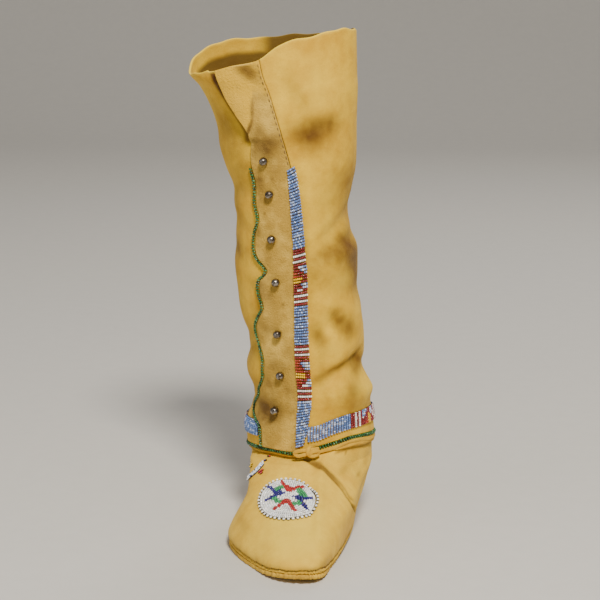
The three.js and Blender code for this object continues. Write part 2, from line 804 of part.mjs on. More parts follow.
// A ball button on a shank that passes through the flap to the wrap below.
function makeButton(place, number) {
  const { face, normal } = buttonFrame(place);
  const radius = buttonDiameter / 2;
  const shank = shankDiameter / 2;
  const seat = 1.5 * clearance;
  const middle = seat + 0.75 * radius;
  const profile = [
    [0, -hideWall],
    [shank, -hideWall],
    [shank, seat],
    [0.7 * radius, seat],
    [0.96 * radius, middle - 0.3 * radius],
    [radius, middle],
    [0.8 * radius, middle + 0.6 * radius],
    [0.4 * radius, middle + 0.92 * radius],
    [0, middle + radius],
  ].map(([x, y]) => new THREE.Vector2(x, y));
  const geometry = turnedTo(new THREE.LatheGeometry(profile, 8), face, normal);
  return meshOf(bodyOf(geometry), `button_${number}`, metalColour, 0.35, 1);
}

// Share of the way from hem to rim at which a line of the front reaches a height.
function shareAt(lineTurn, height) {
  let share = 0.5;
  for (let i = 0; i < 12; i += 1) {
    const turn = onLine(lineTurn, share);
    share = (height - hemAt(turn)) / (rimAt(turn) - hemAt(turn));
  }
  return share;
}

// The leg's rows between two shares of its height, with the two ends added.
function rowsBetween(low, high) {
  const step = 0.012;
  return [low, ...legRows.filter((v) => v > low + step && v < high - step), high];
}

// Lane of beads over the seam, from its top to just above the knot.
function makeLane() {
  const place = (u, v) => {
    const turn = mix(onLine((z) => laneTurn(z, -1), v), onLine((z) => laneTurn(z, 1), v), u);
    return { turn, z: mix(hemAt(turn), rimAt(turn), v) };
  };
  const low = shareAt(seamTurn, hemAt(0) + laneEnd);
  const high = shareAt(seamTurn, legHeight * laneTop);
  return wallSolid(
    "bead_strip",
    spread(4, 0, 1),
    rowsBetween(low, high),
    false,
    (u, v) => {
      const at = place(u, v);
      return legPoint(at.turn, at.z, frontOut(at.turn, at.z) + beadSeat + beadHeight);
    },
    (u, v) => {
      const at = place(u, v);
      return legPoint(at.turn, at.z, frontOut(at.turn, at.z) + beadSeat);
    },
    laneColour,
    0.4,
  );
}

// Band of beads round the ankle, from the lane round the back to the flap's edging.
function makeBand() {
  const place = (u, v) => {
    const across = bandWidth * (v - 0.5);
    const low = bandAt(0) + across;
    const start = laneTurn(low, 1) + turnLength(3 * clearance, low);
    const high = bandAt(-0.16) + across;
    const edging = 2 * edgingRadius + 4 * clearance;
    const end = 1 + edgeTurn(high) - turnLength(1.3 * edging, high);
    const turn = mix(start, end, u);
    return { turn, z: bandAt(turn) + across };
  };
  return wallSolid(
    "ankle_band",
    spread(38, 0, 1),
    spread(2, 0, 1),
    false,
    (u, v) => {
      const at = place(u, v);
      return legPoint(at.turn, at.z, bandSeat + beadHeight);
    },
    (u, v) => {
      const at = place(u, v);
      return legPoint(at.turn, at.z, bandSeat);
    },
    laneColour,
    0.4,
  );
}

function makeHemEdging() {
  const line = [];
  const outward = [];
  for (const turn of roundSteps(footColumns)) {
    const z = hemAt(turn) - edgingRadius - clearance;
    line.push(legPoint(turn, z, -edgingSink));
    outward.push(legNormal(turn, z));
  }
  return ropeSolid("hem_edging", line, outward, true, edgingRadius, edgingRadius, 6, edgingColour);
}

function makeFlapEdging() {
  const line = [];
  const outward = [];
  for (const v of rowsBetween(0.004, shareAt(edgeTurn, legHeight * edgingTop))) {
    const turn = onLine(edgeTurn, v);
    const z = mix(hemAt(turn), rimAt(turn), v);
    const normal = legNormal(turn, z);
    const side = new THREE.Vector3(0, 0, 1).cross(normal);
    const aside = edgingRadius + 1.5 * clearance;
    line.push(legPoint(turn, z, edgingRadius + clearance).addScaledVector(side, -aside));
    outward.push(normal);
  }
  return ropeSolid("flap_edging", line, outward, false, edgingRadius, edgingRadius, 6, edgingColour);
}

// A bead disc on the vamp.
function makeRosette() {
  const around = 28;
  const rings = 3;
  const centreY = rosetteReach - halfSole;
  const points = [];
  const faces = [];
  for (const out of [rosetteSeat, rosetteSeat + beadHeight]) {
    const base = points.length;
    const centre = vampPlace(rosetteX, centreY);
    points.push(footOffset(centre.turn, centre.level, out));
    for (let j = 1; j <= rings; j += 1) {
      for (let i = 0; i < around; i += 1) {
        const angle = (2 * Math.PI * i) / around;
        const x = rosetteX + (rosetteWidth / 2) * (j / rings) * Math.sin(angle);
        const y = centreY - (rosetteLength / 2) * (j / rings) * Math.cos(angle) * 0.93;
        const at = vampPlace(x, y);
        points.push(footOffset(at.turn, at.level, out));
      }
    }
    const turned = out > rosetteSeat;
    for (let i = 0; i < around; i += 1) {
      const next = (i + 1) % around;
      const a = base + 1 + i;
      const b = base + 1 + next;
      faces.push(turned ? [base, a, b] : [base, b, a]);
      for (let j = 0; j < rings - 1; j += 1) {
        const p = base + 1 + j * around;
        const q = p + around;
        if (turned) {
          quad(faces, p + i, q + i, q + next, p + next);
        } else {
          quad(faces, p + i, p + next, q + next, q + i);
        }
      }
    }
  }
  const sheet = 1 + rings * around;
  const edge = 1 + (rings - 1) * around;
  for (let i = 0; i < around; i += 1) {
    const next = (i + 1) % around;
    quad(faces, edge + i, edge + next, sheet + edge + next, sheet + edge + i);
  }
  return solid("toe_rosette", points, faces, rosetteColour, 0.4, 0);
}

// The short lane on the outer side of the foot.
function makeMotif() {
  const place = (u, v) => {
    const index = v * (motifLine.length - 1);
    const low = Math.min(motifLine.length - 2, Math.floor(index));
    const here = motifLine[low];
    const next = motifLine[low + 1];
    const share = index - low;
    const turn = mix(here.turn, next.turn, share);
    const level = mix(here.level, next.level, share);
    const run = footPoint(next.turn, next.level).sub(footPoint(here.turn, here.level));
    const normal = footNormal(turn, level);
    const side = run.cross(normal).normalize();
    return { turn, level, normal, side, shift: motifWidth * (u - 0.5) };
  };
  const face = (u, v, out) => {
    const at = place(u, v);
    return footPoint(at.turn, at.level)
      .addScaledVector(at.side, at.shift)
      .addScaledVector(at.normal, out);
  };
  return wallSolid(
    "side_motif",
    spread(1, 0, 1),
    spread(4, 0, 1),
    false,
    (u, v) => face(u, v, 2 * clearance + beadHeight),
    (u, v) => face(u, v, 2 * clearance),
    rosetteColour,
    0.4,
  );
}

function tieDrop() {
  return 2 * edgingRadius + 2 * clearance + thongWidth / 2;
}

function makeTie() {
  const line = [];
  const outward = [];
  for (const turn of roundSteps(footColumns)) {
    const z = hemAt(turn) - tieDrop();
    line.push(anklePoint(turn, z, clearance + thongThickness / 2));
    outward.push(legNormal(turn, z));
  }
  return ropeSolid("ankle_tie", line, outward, true, thongThickness / 2, thongWidth / 2, 6, thongColour);
}

// The knot's outer shape, a rounded lump in front of the hem's edging.
function makeKnot() {
  const turn = turnAtSide(knotX - legAxisX, hemHeight);
  const z = hemAt(turn) - edgingRadius - clearance + knotRise;
  const normal = legNormal(turn, z);
  const middle = legPoint(turn, z, edgingRadius - edgingSink + clearance + knotDepth / 2);
  const lump = new THREE.SphereGeometry(1, 12, 8);
  lump.scale(knotWidth / 2, knotDepth / 2, knotHeight / 2);
  const facing = new THREE.Quaternion().setFromUnitVectors(new THREE.Vector3(0, -1, 0), normal);
  lump.applyQuaternion(facing);
  lump.translate(middle.x, middle.y, middle.z);
  return meshOf(bodyOf(lump), "tie_knot", thongColour, 0.8, 0);
}

// The thong's loose end, lying on the ankle below the tie.
function makeThongEnd() {
  const line = [];
  const outward = [];
  const first = thongEndLine[0].turn;
  const last = thongEndLine[thongEndLine.length - 1].turn;
  for (const turn of spread(16, first, last)) {
    const level = readTable(thongEndLine, "turn", turn, "level");
    line.push(footOffset(turn, level, beadSeat + thongEndDiameter / 2));
    outward.push(footNormal(turn, level));
  }
  const half = thongEndDiameter / 2;
  return ropeSolid("tie_end", line, outward, false, half, half, 8, thongColour);
}

const group = new THREE.Group();
group.name = "moccasin_boot";
group.add(makeSole());
group.add(makeFoot());
group.add(makeLeg());
group.add(makeFlap());
group.add(makeLane());
group.add(makeBand());
group.add(makeHemEdging());
group.add(makeFlapEdging());
group.add(makeRosette());
group.add(makeMotif());
buttonPlaces.forEach((place, index) => group.add(makeButton(place, index + 1)));
group.add(makeTie());
group.add(makeKnot());
group.add(makeThongEnd());

export default group;
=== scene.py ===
import bpy
import math
import time
import numpy as np
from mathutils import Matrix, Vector


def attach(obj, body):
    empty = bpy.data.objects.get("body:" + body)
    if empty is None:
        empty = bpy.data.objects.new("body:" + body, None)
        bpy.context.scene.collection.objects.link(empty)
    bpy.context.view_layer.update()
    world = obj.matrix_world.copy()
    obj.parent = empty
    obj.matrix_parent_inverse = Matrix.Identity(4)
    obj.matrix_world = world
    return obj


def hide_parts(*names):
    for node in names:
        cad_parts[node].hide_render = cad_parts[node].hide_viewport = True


startTime = time.time()
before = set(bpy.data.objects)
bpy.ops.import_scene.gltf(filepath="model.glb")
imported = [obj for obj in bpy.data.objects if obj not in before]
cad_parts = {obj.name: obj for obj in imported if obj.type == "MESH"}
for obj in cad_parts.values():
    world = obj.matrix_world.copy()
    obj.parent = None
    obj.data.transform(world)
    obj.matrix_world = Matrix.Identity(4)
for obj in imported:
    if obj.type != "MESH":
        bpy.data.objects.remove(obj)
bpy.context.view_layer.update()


def report(stage):
    print("stage", stage, round(time.time() - startTime, 1), "s")


# Sizes
# Sizes of the boot in millimetres. A turn is the share of the way round from the front by the
# inner side. Two sizes are shares: edgingTop of the leg's height, tuckLevel of the way up the foot.
boot = dict(
    soleLength=250.0, ballWidth=102.0, toeSpring=5.0, springStart=45.0, instepHeight=64.0,
    legHeight=418.0, hemHeight=70.0, legWidth=100.0, legDepth=103.0, legAxisX=3.0, instepSetback=127.0,
    hideWall=1.8, clearance=0.3, tuckGap=0.6, tuckHeight=12.0, tuckStart=7.0, wrapSlit=6.0,
    laneWidth=12.0, edgingTop=0.742, tuckLevel=0.74,
)
halfSole = boot["soleLength"] / 2
halfBall = boot["ballWidth"] / 2
legFront = boot["instepSetback"] - halfSole
lapStep = boot["hideWall"] + boot["clearance"]
edging = dict(radius=1.3, pitch=2.3, sink=0.5)  # the thong and the knot sit against it too
skinLength = 320.0  # the way round the leg that strokes and creases are unrolled to

# Middle and half widths of the sole in shares of the ball's, by the share of its half length. The
# widths here and in the rings follow the photo. The solids are wider at the toe and outer side.
soleOutline = dict(
    along=[-1.0, -0.9, -0.74, -0.54, -0.26, 0.06, 0.38, 0.7, 1.0],
    middle=[0.25, 0.23, 0.17, 0.12, 0.07, 0.06, 0.08, 0.11, 0.13],
    outer=[0.9, 0.94, 0.93, 1.05, 1.13, 1.02, 0.88, 0.85, 0.86],
    inner=[0.78, 0.68, 0.67, 0.73, 0.81, 0.87, 0.89, 0.86, 0.87],
)
# Rings of the foot by level, in shares of the half length, the half width and the instep's height.
footRings = dict(
    level=[0, 0.06, 0.13, 0.21, 0.3, 0.39, 0.48, 0.57, 0.64],
    front=[-0.984, -1.0, -0.968, -0.88, -0.744, -0.568, -0.376, -0.192, -0.056],
    back=[0.985, 0.997, 1.0, 0.995, 0.98, 0.96, 0.94, 0.92, 0.91],
    outer=[0.985, 1.02, 0.97, 0.89, 0.82, 0.79, 0.79, 0.81, 0.84],
    inner=[0.985, 1.02, 1.05, 1.1, 1.17, 1.23, 1.26, 1.27, 1.25],
    frontRise=[0.067, 0.125, 0.22, 0.32, 0.44, 0.56, 0.71, 0.86, 0.965],
    sideRise=[0.067, 0.16, 0.28, 0.41, 0.53, 0.63, 0.73, 0.82, 0.89],
    backRise=[0.067, 0.17, 0.31, 0.46, 0.59, 0.69, 0.77, 0.83, 0.88],
)
# The leg's reach to its four sides, in shares of its width and depth, by share of its height.
legSections = dict(
    height=[0.14, 0.167, 0.208, 0.234, 0.273, 0.313, 0.356, 0.397, 0.44, 0.481, 0.522, 0.567, 0.603,
            0.644, 0.684, 0.725, 0.766, 0.806, 0.844, 0.885, 0.911, 1.01],
    outer=[0.475, 0.486, 0.486, 0.45, 0.45, 0.482, 0.493, 0.495, 0.538, 0.558, 0.578, 0.585, 0.58,
           0.595, 0.59, 0.648, 0.7, 0.72, 0.77, 0.86, 0.95, 0.98],
    inner=[0.59, 0.604, 0.588, 0.569, 0.556, 0.512, 0.511, 0.506, 0.488, 0.455, 0.456, 0.446, 0.39,
           0.372, 0.398, 0.43, 0.437, 0.437, 0.44, 0.446, 0.44, 0.43],
    front=[0.02, 0.01, 0.01, 0.01, 0, 0, 0, 0, 0, 0, 0, 0, 0, 0, 0, 0, 0, 0, 0, 0, 0, 0],
    back=[1.03, 1.03, 1.02, 1.01, 1, 1, 1, 1, 1, 1, 1, 1, 1, 1, 1, 0.99, 0.98, 0.965, 0.95, 0.94, 0.93, 0.93],
)
# The flap's free edge and seam and half the lane's width, sideways, by share of the leg's height.
frontLines = dict(
    height=[0.172, 0.206, 0.227, 0.254, 0.292, 0.321, 0.352, 0.388, 0.421, 0.464, 0.505, 0.536, 0.565,
            0.593, 0.646, 0.703, 0.742, 0.801, 0.837, 0.876, 0.914, 0.947],
    edge=[-0.337, -0.355, -0.38, -0.38, -0.34, -0.319, -0.32, -0.366, -0.372, -0.343, -0.336, -0.31,
          -0.366, -0.38, -0.353, -0.378, -0.414, -0.425, -0.525, -0.63, -0.692, -0.7],
    seam=[-0.006, 0.014, 0.022, 0.036, 0.04, 0.031, 0.022, 0.016, 0.013, 0.01, 0.006, 0.002, -0.004,
          -0.011, -0.028, -0.05, -0.078, -0.148, -0.192, -0.24, -0.298, -0.328],
    lane=[0.2, 0.37, 0.42, 0.46, 0.49, 0.5, 0.5, 0.49, 0.47, 0.46, 0.47, 0.46, 0.43,
          0.4, 0.38, 0.34, 0.28, 0.15, 0.1, 0.1, 0.1, 0.1],
)
rimLine = dict(
    turn=[-0.5, -0.42, -0.34, -0.28, -0.245, -0.18, -0.11, -0.069, -0.017, 0.025, 0.072, 0.126, 0.18,
          0.25, 0.33, 0.42, 0.5],
    height=[0.974, 0.967, 0.952, 0.926, 0.911, 0.914, 0.921, 0.932, 0.944, 0.973, 0.988, 0.998, 1.0,
            0.997, 0.99, 0.979, 0.974],
)
hemLine = dict(
    turn=[-0.5, -0.35, -0.243, -0.17, -0.1, -0.032, 0.024, 0.067, 0.121, 0.236, 0.36, 0.5],
    hem=[0.97, 0.95, 0.95, 0.99, 1.01, 1.0, 1.07, 1.12, 1.16, 1.11, 1.03, 0.97],
    band=[1.19, 1.18, 1.19, 1.21, 1.23, 1.22, 1.24, 1.31, 1.35, 1.34, 1.25, 1.19],
)
# Folds of the leg and foot: turn, height, spread round, spread up, depth, lean
legFolds = [
    (0.13, 0.6, 0.09, 0.022, -0.045, 0.35), (0.12, 0.555, 0.1, 0.025, 0.025, 0.35),
    (0.12, 0.33, 0.08, 0.018, -0.04, 0.4), (0.15, 0.275, 0.09, 0.03, 0.03, 0.1),
    (0.08, 0.42, 0.05, 0.02, -0.025, 0.5), (-0.2, 0.62, 0.1, 0.03, -0.03, -0.2),
    (-0.22, 0.36, 0.1, 0.02, -0.035, 0.2), (-0.24, 0.26, 0.1, 0.02, -0.03, -0.2),
    (0.42, 0.52, 0.12, 0.03, -0.045, 0.15), (-0.4, 0.4, 0.12, 0.03, -0.045, -0.15),
    (0.45, 0.3, 0.13, 0.025, -0.04, 0.1),
]
footFolds = [
    (0.05, 0.5, 0.018, 0.2, 0.04, 0.12), (0.03, 0.5, 0.016, 0.2, -0.03, 0.12),
    (-0.3, 0.4, 0.08, 0.12, -0.03, 0.0), (0.33, 0.42, 0.08, 0.12, -0.03, 0.0),
]


# Curves and surfaces
# Value of a table's column at a place along its key: a cubic between two rows, whose slopes
# are those of the lines through the rows on either side.
def readTable(rows, key, at, column):
    keys = np.asarray(rows[key], float)
    values = np.asarray(rows[column], float)
    at = np.asarray(at, float)
    low = np.clip(np.searchsorted(keys, at, side="right") - 1, 0, len(keys) - 2)
    before = np.maximum(low - 1, 0)
    after = np.minimum(low + 2, len(keys) - 1)
    span = keys[low + 1] - keys[low]
    s = np.clip((at - keys[low]) / span, 0, 1)
    slopeLow = (values[low + 1] - values[before]) / (keys[low + 1] - keys[before])
    slopeHigh = (values[after] - values[low]) / (keys[after] - keys[low])
    return ((2 * s**3 - 3 * s**2 + 1) * values[low] + (s**3 - 2 * s**2 + s) * span * slopeLow
            + (3 * s**2 - 2 * s**3) * values[low + 1] + (s**3 - s**2) * span * slopeHigh)


# A share of the way from a to b: a + (b - a) * share
def mix(a, b, share):
    return a + (b - a) * share


# 3s^2 - 2s^3, held between 0 and 1
def smooth(s):
    s = np.clip(s, 0, 1)
    return s * s * (3 - 2 * s)


# A bell: exp(-(distance / width)^2)
def bell(distance, width):
    return np.exp(-(distance / width) ** 2)


# Ups and downs round the boot: the sine of a number of rounds of the turn.
def wave(turn, count, start=0.0):
    return np.sin(2 * np.pi * turn * count + start)


# A turn less its whole rounds, between a half round back and a half round on.
def wrapTurn(turn):
    return turn - np.round(turn)


# Sum of soft bumps: depth times a bell round and a bell up, up measured from a leaning line.
def foldSum(folds, turn, at):
    total = 0
    for foldTurn, place, turnSpread, upSpread, depth, lean in folds:
        across = wrapTurn(turn - foldTurn)
        up = at - place - lean * across
        total = total + depth * bell(across, turnSpread) * bell(up, upSpread)
    return total


# Height of the rim: the leg's height times the rim line's share.
def rimAt(turn):
    return boot["legHeight"] * readTable(rimLine, "turn", wrapTurn(turn), "height")


# Height of the hem: its front height times the hem line's share.
def hemAt(turn):
    return boot["hemHeight"] * readTable(hemLine, "turn", wrapTurn(turn), "hem")


# Height of the ankle band's middle, likewise.
def bandAt(turn):
    return boot["hemHeight"] * readTable(hemLine, "turn", wrapTurn(turn), "band")


# The leg's oval at a height: its middle, then its half width and half depth.
def legOval(z):
    reach = {side: readTable(legSections, "height", z / boot["legHeight"], side)
             for side in ("outer", "inner", "front", "back")}
    outer, inner = boot["legWidth"] * reach["outer"], boot["legWidth"] * reach["inner"]
    front, back = legFront + boot["legDepth"] * reach["front"], legFront + boot["legDepth"] * reach["back"]
    return boot["legAxisX"] + (inner - outer) / 2, (front + back) / 2, (inner + outer) / 2, (back - front) / 2


# Outer face of the leg: x = mid + half sin, y = mid - half cos of the turn, moved out along
# the oval's level normal by the folds and by out.
def legPoint(turn, z, out):
    turn, z, out = np.broadcast_arrays(np.asarray(turn, float), z, out)
    midX, midY, halfX, halfY = legOval(z)
    angle = 2 * np.pi * turn
    nx, ny = np.sin(angle) / halfX, -np.cos(angle) / halfY
    size = np.hypot(nx, ny)
    far = out + boot["legWidth"] * foldSum(legFolds, turn, z / boot["legHeight"])
    x = midX + halfX * np.sin(angle) + far * nx / size
    y = midY - halfY * np.cos(angle) + far * ny / size
    return np.stack([x, y, z], -1)


# Way out of the leg at a place: its point one millimetre out less its point on the face.
def legOutward(turn, z):
    return legPoint(turn, z, 1.0) - legPoint(turn, z, 0.0)


# Turn on the front half at a sideways place: the arc sine of its share of the half width.
def turnAtSide(side, z):
    midX, _, halfX, _ = legOval(z)
    return np.arcsin(np.clip((boot["legAxisX"] + side - midX) / halfX, -0.98, 0.98)) / (2 * np.pi)


# A line of the front at a height, as a share of the leg's or the lane's width.
def frontLine(z, line):
    return readTable(frontLines, "height", z / boot["legHeight"], line)


# Sideways moves of the flap's free edge in millimetres, where the cut edge wanders too
# sharply for the solids' rows.
edgeDetail = dict(
    height=[66, 79, 88, 92, 96, 100, 104, 108, 114, 120, 125, 132, 138, 145, 153, 162, 170, 178, 185, 190,
            194, 202, 215, 218.5, 222, 226, 230, 234, 248, 255, 261, 267, 278, 288, 297, 307, 318, 330, 345,
            360, 375, 390, 400],
    side=[2.1, 2.8, 3.2, 1.2, -0.8, -1.8, -1.4, 0.4, 2.4, 1.2, 2.0, 2.7, 2.0, 2.4, 2.4, 2.0, 1.4, 2.0,
          3.7, 5.2, 4.5, 1.7, 0.7, 3.2, 4.6, 3.5, 1.6, 0.9, 1.2, 1.5, 3.0, 2.6, 0.5, 1.8, 2.5, 2.5, 2.0,
          2.5, 3.5, 3.5, 2.5, 1.5, 1.0],
)


# Turn of the flap's free edge: the front line's place with the detail added.
def edgeTurn(z):
    return turnAtSide(boot["legWidth"] * frontLine(z, "edge") + readTable(edgeDetail, "height", z, "side"), z)


# Turn of the seam between flap and leg.
def seamTurn(z):
    return turnAtSide(boot["legWidth"] * frontLine(z, "seam"), z)


# Turn of the bead lane's outer side (-1) or inner side (1): half its width from the seam.
def laneTurn(z, side):
    half = boot["laneWidth"] * frontLine(z, "lane")
    return turnAtSide(boot["legWidth"] * frontLine(z, "seam") + side * half, z)


# Soft share of the way from the free edge to the seam.
def lapShare(turn, z):
    edge = edgeTurn(z)
    return smooth((turn - edge) / (seamTurn(z) - edge))


# How far the flap stands out over the leg: a wall and a gap at its edge, nothing at the seam.
def flapOut(turn, z):
    return lapStep * (1 - lapShare(turn, z))


# How far the topmost hide stands out: the flap's way out before the seam, nothing after it.
def frontOut(turn, z):
    return np.where(turn < seamTurn(z), flapOut(turn, z), 0.0)


# Turn that a length takes up: the length over the round of the oval's half width.
def turnLength(length, z):
    return length / (2 * np.pi * legOval(z)[2])


# Turn of a line of the front at a share of the way from hem to rim, found by going back and
# forth between the line's turn and the height there.
def onLine(line, share):
    turn = np.zeros_like(share)
    for _ in range(6):
        turn = line(mix(hemAt(turn), rimAt(turn), share))
    return turn


# Rise of the toe: the spring times the square of the share of its stretch.
def springAt(y):
    ahead = boot["springStart"] - halfSole - y
    return boot["toeSpring"] * np.maximum(0, ahead / boot["springStart"]) ** 2


# Rings of the foot: y goes from toe to heel with -cos of the turn, x spreads with |sin|^0.8
# and the sole's outline, z goes from the side's rise to the end's with the square of along.
def ringPoint(turn, level):
    angle = 2 * np.pi * turn
    along, across = -np.cos(angle), np.sin(angle)
    at = np.minimum(level, footRings["level"][-1])
    ring = lambda column: readTable(footRings, "level", at, column)
    widen = np.where(across > 0, ring("inner"), ring("outer"))
    y = mix(halfSole * ring("front"), halfSole * ring("back"), (along + 1) / 2)
    place = np.clip(y / halfSole, -1, 1)
    reachAt = mix(along, place, 0.4)
    reach = halfBall * np.where(across > 0, readTable(soleOutline, "along", reachAt, "inner"),
                                readTable(soleOutline, "along", reachAt, "outer"))
    x = halfBall * readTable(soleOutline, "along", place, "middle")
    x = x + np.sign(across) * np.abs(across) ** 0.8 * widen * reach
    side = boot["instepHeight"] * ring("sideRise")
    end = boot["instepHeight"] * np.where(along < 0, ring("frontRise"), ring("backRise"))
    return np.stack([x, y, springAt(y) + mix(side, end, along * along)], -1)


# How far the foot's ankle is pressed in under the wrap's two layers.
def ankleLap(turn, z):
    seam = seamTurn(z)
    return lapStep * np.where(turn > seam, 1 - smooth((turn - seam) / 0.05), lapShare(turn, z))


# The ankle inside the leg: the leg's face moved in by its wall, a gap and the lap.
def anklePoint(turn, z, out):
    local = wrapTurn(turn)
    lap = np.where(np.abs(local) < 0.25, ankleLap(local, np.maximum(z, boot["hemHeight"])), 0)
    return legPoint(turn, z, out - boot["hideWall"] - boot["tuckGap"] - lap)


# The foot's outer face: the rings, turning into the ankle that runs up inside the leg.
def footPoint(turn, level):
    turn, level = np.broadcast_arrays(np.asarray(turn, float), np.asarray(level, float))
    up = np.maximum(0, (level - boot["tuckLevel"]) / (1 - boot["tuckLevel"]))
    ankle = anklePoint(turn, hemAt(turn) + mix(-boot["tuckStart"], boot["tuckHeight"], up), 0)
    start = footRings["level"][-1]
    share = smooth((level - start) / (boot["tuckLevel"] - start))[..., None]
    away = np.stack([np.sin(2 * np.pi * turn), -0.3 * np.cos(2 * np.pi * turn), np.full_like(turn, 0.9)], -1)
    away /= np.linalg.norm(away, axis=-1, keepdims=True)
    fold = boot["instepHeight"] * foldSum(footFolds, turn, level) * smooth(level / 0.15)
    return mix(ringPoint(turn, level), ankle, share) + away * (fold[..., None] * (1 - share))


# Unit normal of a surface: cross product of its two finite differences.
def surfaceNormal(surface, a, b, stepA=0.002, stepB=0.002):
    lowB, highB = np.maximum(b - stepB, 0), np.minimum(b + stepB, 1)
    normal = np.cross(surface(a + stepA, b) - surface(a - stepA, b), surface(a, highB) - surface(a, lowB))
    return normal / np.linalg.norm(normal, axis=-1, keepdims=True)


# The foot's face moved out along its normal.
def footOut(turn, level, out):
    out = np.asarray(out, float)
    return footPoint(turn, level) + surfaceNormal(footPoint, turn, level) * out[..., None]


# Place on the vamp under points of the plan, by Newton steps in turn and level.
def vampPlace(x, y):
    turn, level = np.zeros_like(x), np.full_like(x, 0.4)
    for _ in range(30):
        here = footPoint(turn, level)
        across = (footPoint(turn + 0.002, level) - here) / 0.002
        rise = (footPoint(turn, level + 0.002) - here) / 0.002
        det = across[..., 0] * rise[..., 1] - across[..., 1] * rise[..., 0]
        dx, dy = x - here[..., 0], y - here[..., 1]
        turn = np.clip(turn + 0.7 * (dx * rise[..., 1] - dy * rise[..., 0]) / det, -0.2, 0.2)
        level = np.clip(level + 0.7 * (dy * across[..., 0] - dx * across[..., 1]) / det, 0.05, 0.66)
    return turn, level


# Where places of a skin are to a stroke drawn on it, in millimetres on the unrolled skin: the
# share of the stroke's length, the distance to it and the distance to its left.
def strokePlace(turn, z, turnA, zA, turnB, zB):
    px, pz = wrapTurn(turn - turnA) * skinLength, z - zA
    dx, dz = (turnB - turnA) * skinLength, zB - zA
    length = max(math.hypot(dx, dz), 0.001)
    share = np.clip((px * dx + pz * dz) / length**2, 0, 1)
    return share, np.hypot(px - share * dx, pz - share * dz), (pz * dx - px * dz) / length


# Strokes, drawn one by one: each is a line from one place to another with a width and a strength.
# The field is the strength times the bell of the distance, weaker at the stroke's ends.
def strokeField(turn, z, strokes):
    total = np.zeros(np.broadcast(turn, z).shape)
    for *ends, width, strength in strokes:
        share, far, _ = strokePlace(turn, z, *ends)
        taper = 0.35 + 0.65 * np.sin(np.pi * np.clip(share, 0.02, 0.98))
        total += strength * taper * bell(far, width)
    return total


# A strength that rises to one and never passes it: 1 - exp(-value).
def softened(value):
    return 1 - np.exp(-np.maximum(value, 0))


# Soft creases with a ridge beside each: the depth times the bell of the distance, less the
# ridge's share of it on the left side, which is a trough on the right.
def creaseField(turn, z, creases):
    total = np.zeros(np.broadcast(turn, z).shape)
    for *ends, width, depth, ridge in creases:
        share, far, left = strokePlace(turn, z, *ends)
        dip = bell(far, width) * (0.3 + 0.7 * np.sin(np.pi * np.clip(share, 0.03, 0.97)))
        total += depth * dip * (ridge * np.clip(left / width, -2, 2) - 1)
    return total


# Least distance from each point to a line through places in space, and the share of the
# line's length where that is.
def lineDistance(points, path):
    flat = points.reshape(-1, 3)
    far = np.linalg.norm(flat[:, None, :] - path[None, :, :], axis=2)
    near = far.argmin(1)
    shape = points.shape[:-1]
    return far[np.arange(len(flat)), near].reshape(shape), (near / (len(path) - 1)).reshape(shape)


# Meshes
rng = np.random.default_rng(7)
collection = bpy.context.scene.collection


# A mesh object from arrays of points (millimetres), quads and named values on the points.
def makeMesh(name, points, quads, floats=None, colours=None):
    mesh = bpy.data.meshes.new(name)
    points = np.asarray(points, float).reshape(-1, 3) * 0.001
    quads = np.asarray(quads, np.int32).reshape(-1, 4)
    mesh.vertices.add(len(points))
    mesh.vertices.foreach_set("co", points.ravel())
    mesh.loops.add(quads.size)
    mesh.loops.foreach_set("vertex_index", quads.ravel())
    mesh.polygons.add(len(quads))
    mesh.polygons.foreach_set("loop_start", np.arange(0, quads.size, 4, dtype=np.int32))
    mesh.polygons.foreach_set("use_smooth", np.ones(len(quads), bool))
    mesh.update(calc_edges=True)
    for key, values in (floats or {}).items():
        field = mesh.attributes.new(key, "FLOAT", "POINT")
        field.data.foreach_set("value", np.asarray(values, float).ravel())
    for key, values in (colours or {}).items():
        field = mesh.attributes.new(key, "FLOAT_COLOR", "POINT")
        field.data.foreach_set("color", np.concatenate([values, np.ones((len(values), 1))], 1).ravel())
    mesh.validate()
    obj = bpy.data.objects.new(name, mesh)
    collection.objects.link(obj)
    return obj


# Quads of a grid of columns and rows, closed round the columns if asked.
def gridQuads(rows, columns, closed=False):
    j = np.arange(rows - 1)[:, None]
    i = np.arange(columns if closed else columns - 1)[None, :]
    nextI = (i + 1) % columns
    a, b = j * columns + i, j * columns + nextI
    return np.stack([a, b, b + columns, a + columns], -1).reshape(-1, 4)


# The quads turned round if the mesh's volume, the sum of its corners' triple products, is less
# than nothing.
def turnedOut(points, quads):
    p = points[quads]
    volume = np.einsum("ij,ij->i", p[:, 0], np.cross(p[:, 1], p[:, 2]) + np.cross(p[:, 2], p[:, 3])).sum()
    return quads if volume > 0 else quads[:, ::-1]


# Steps from 0 to 1 with fine ones at both ends, so that an edge can be rounded there.
def edgeSteps(count, edge):
    fine = edge * np.array([0.0, 0.1, 0.3, 0.6, 1.0])
    return np.concatenate([fine, np.linspace(edge, 1 - edge, count)[1:-1], 1 - fine[::-1]])
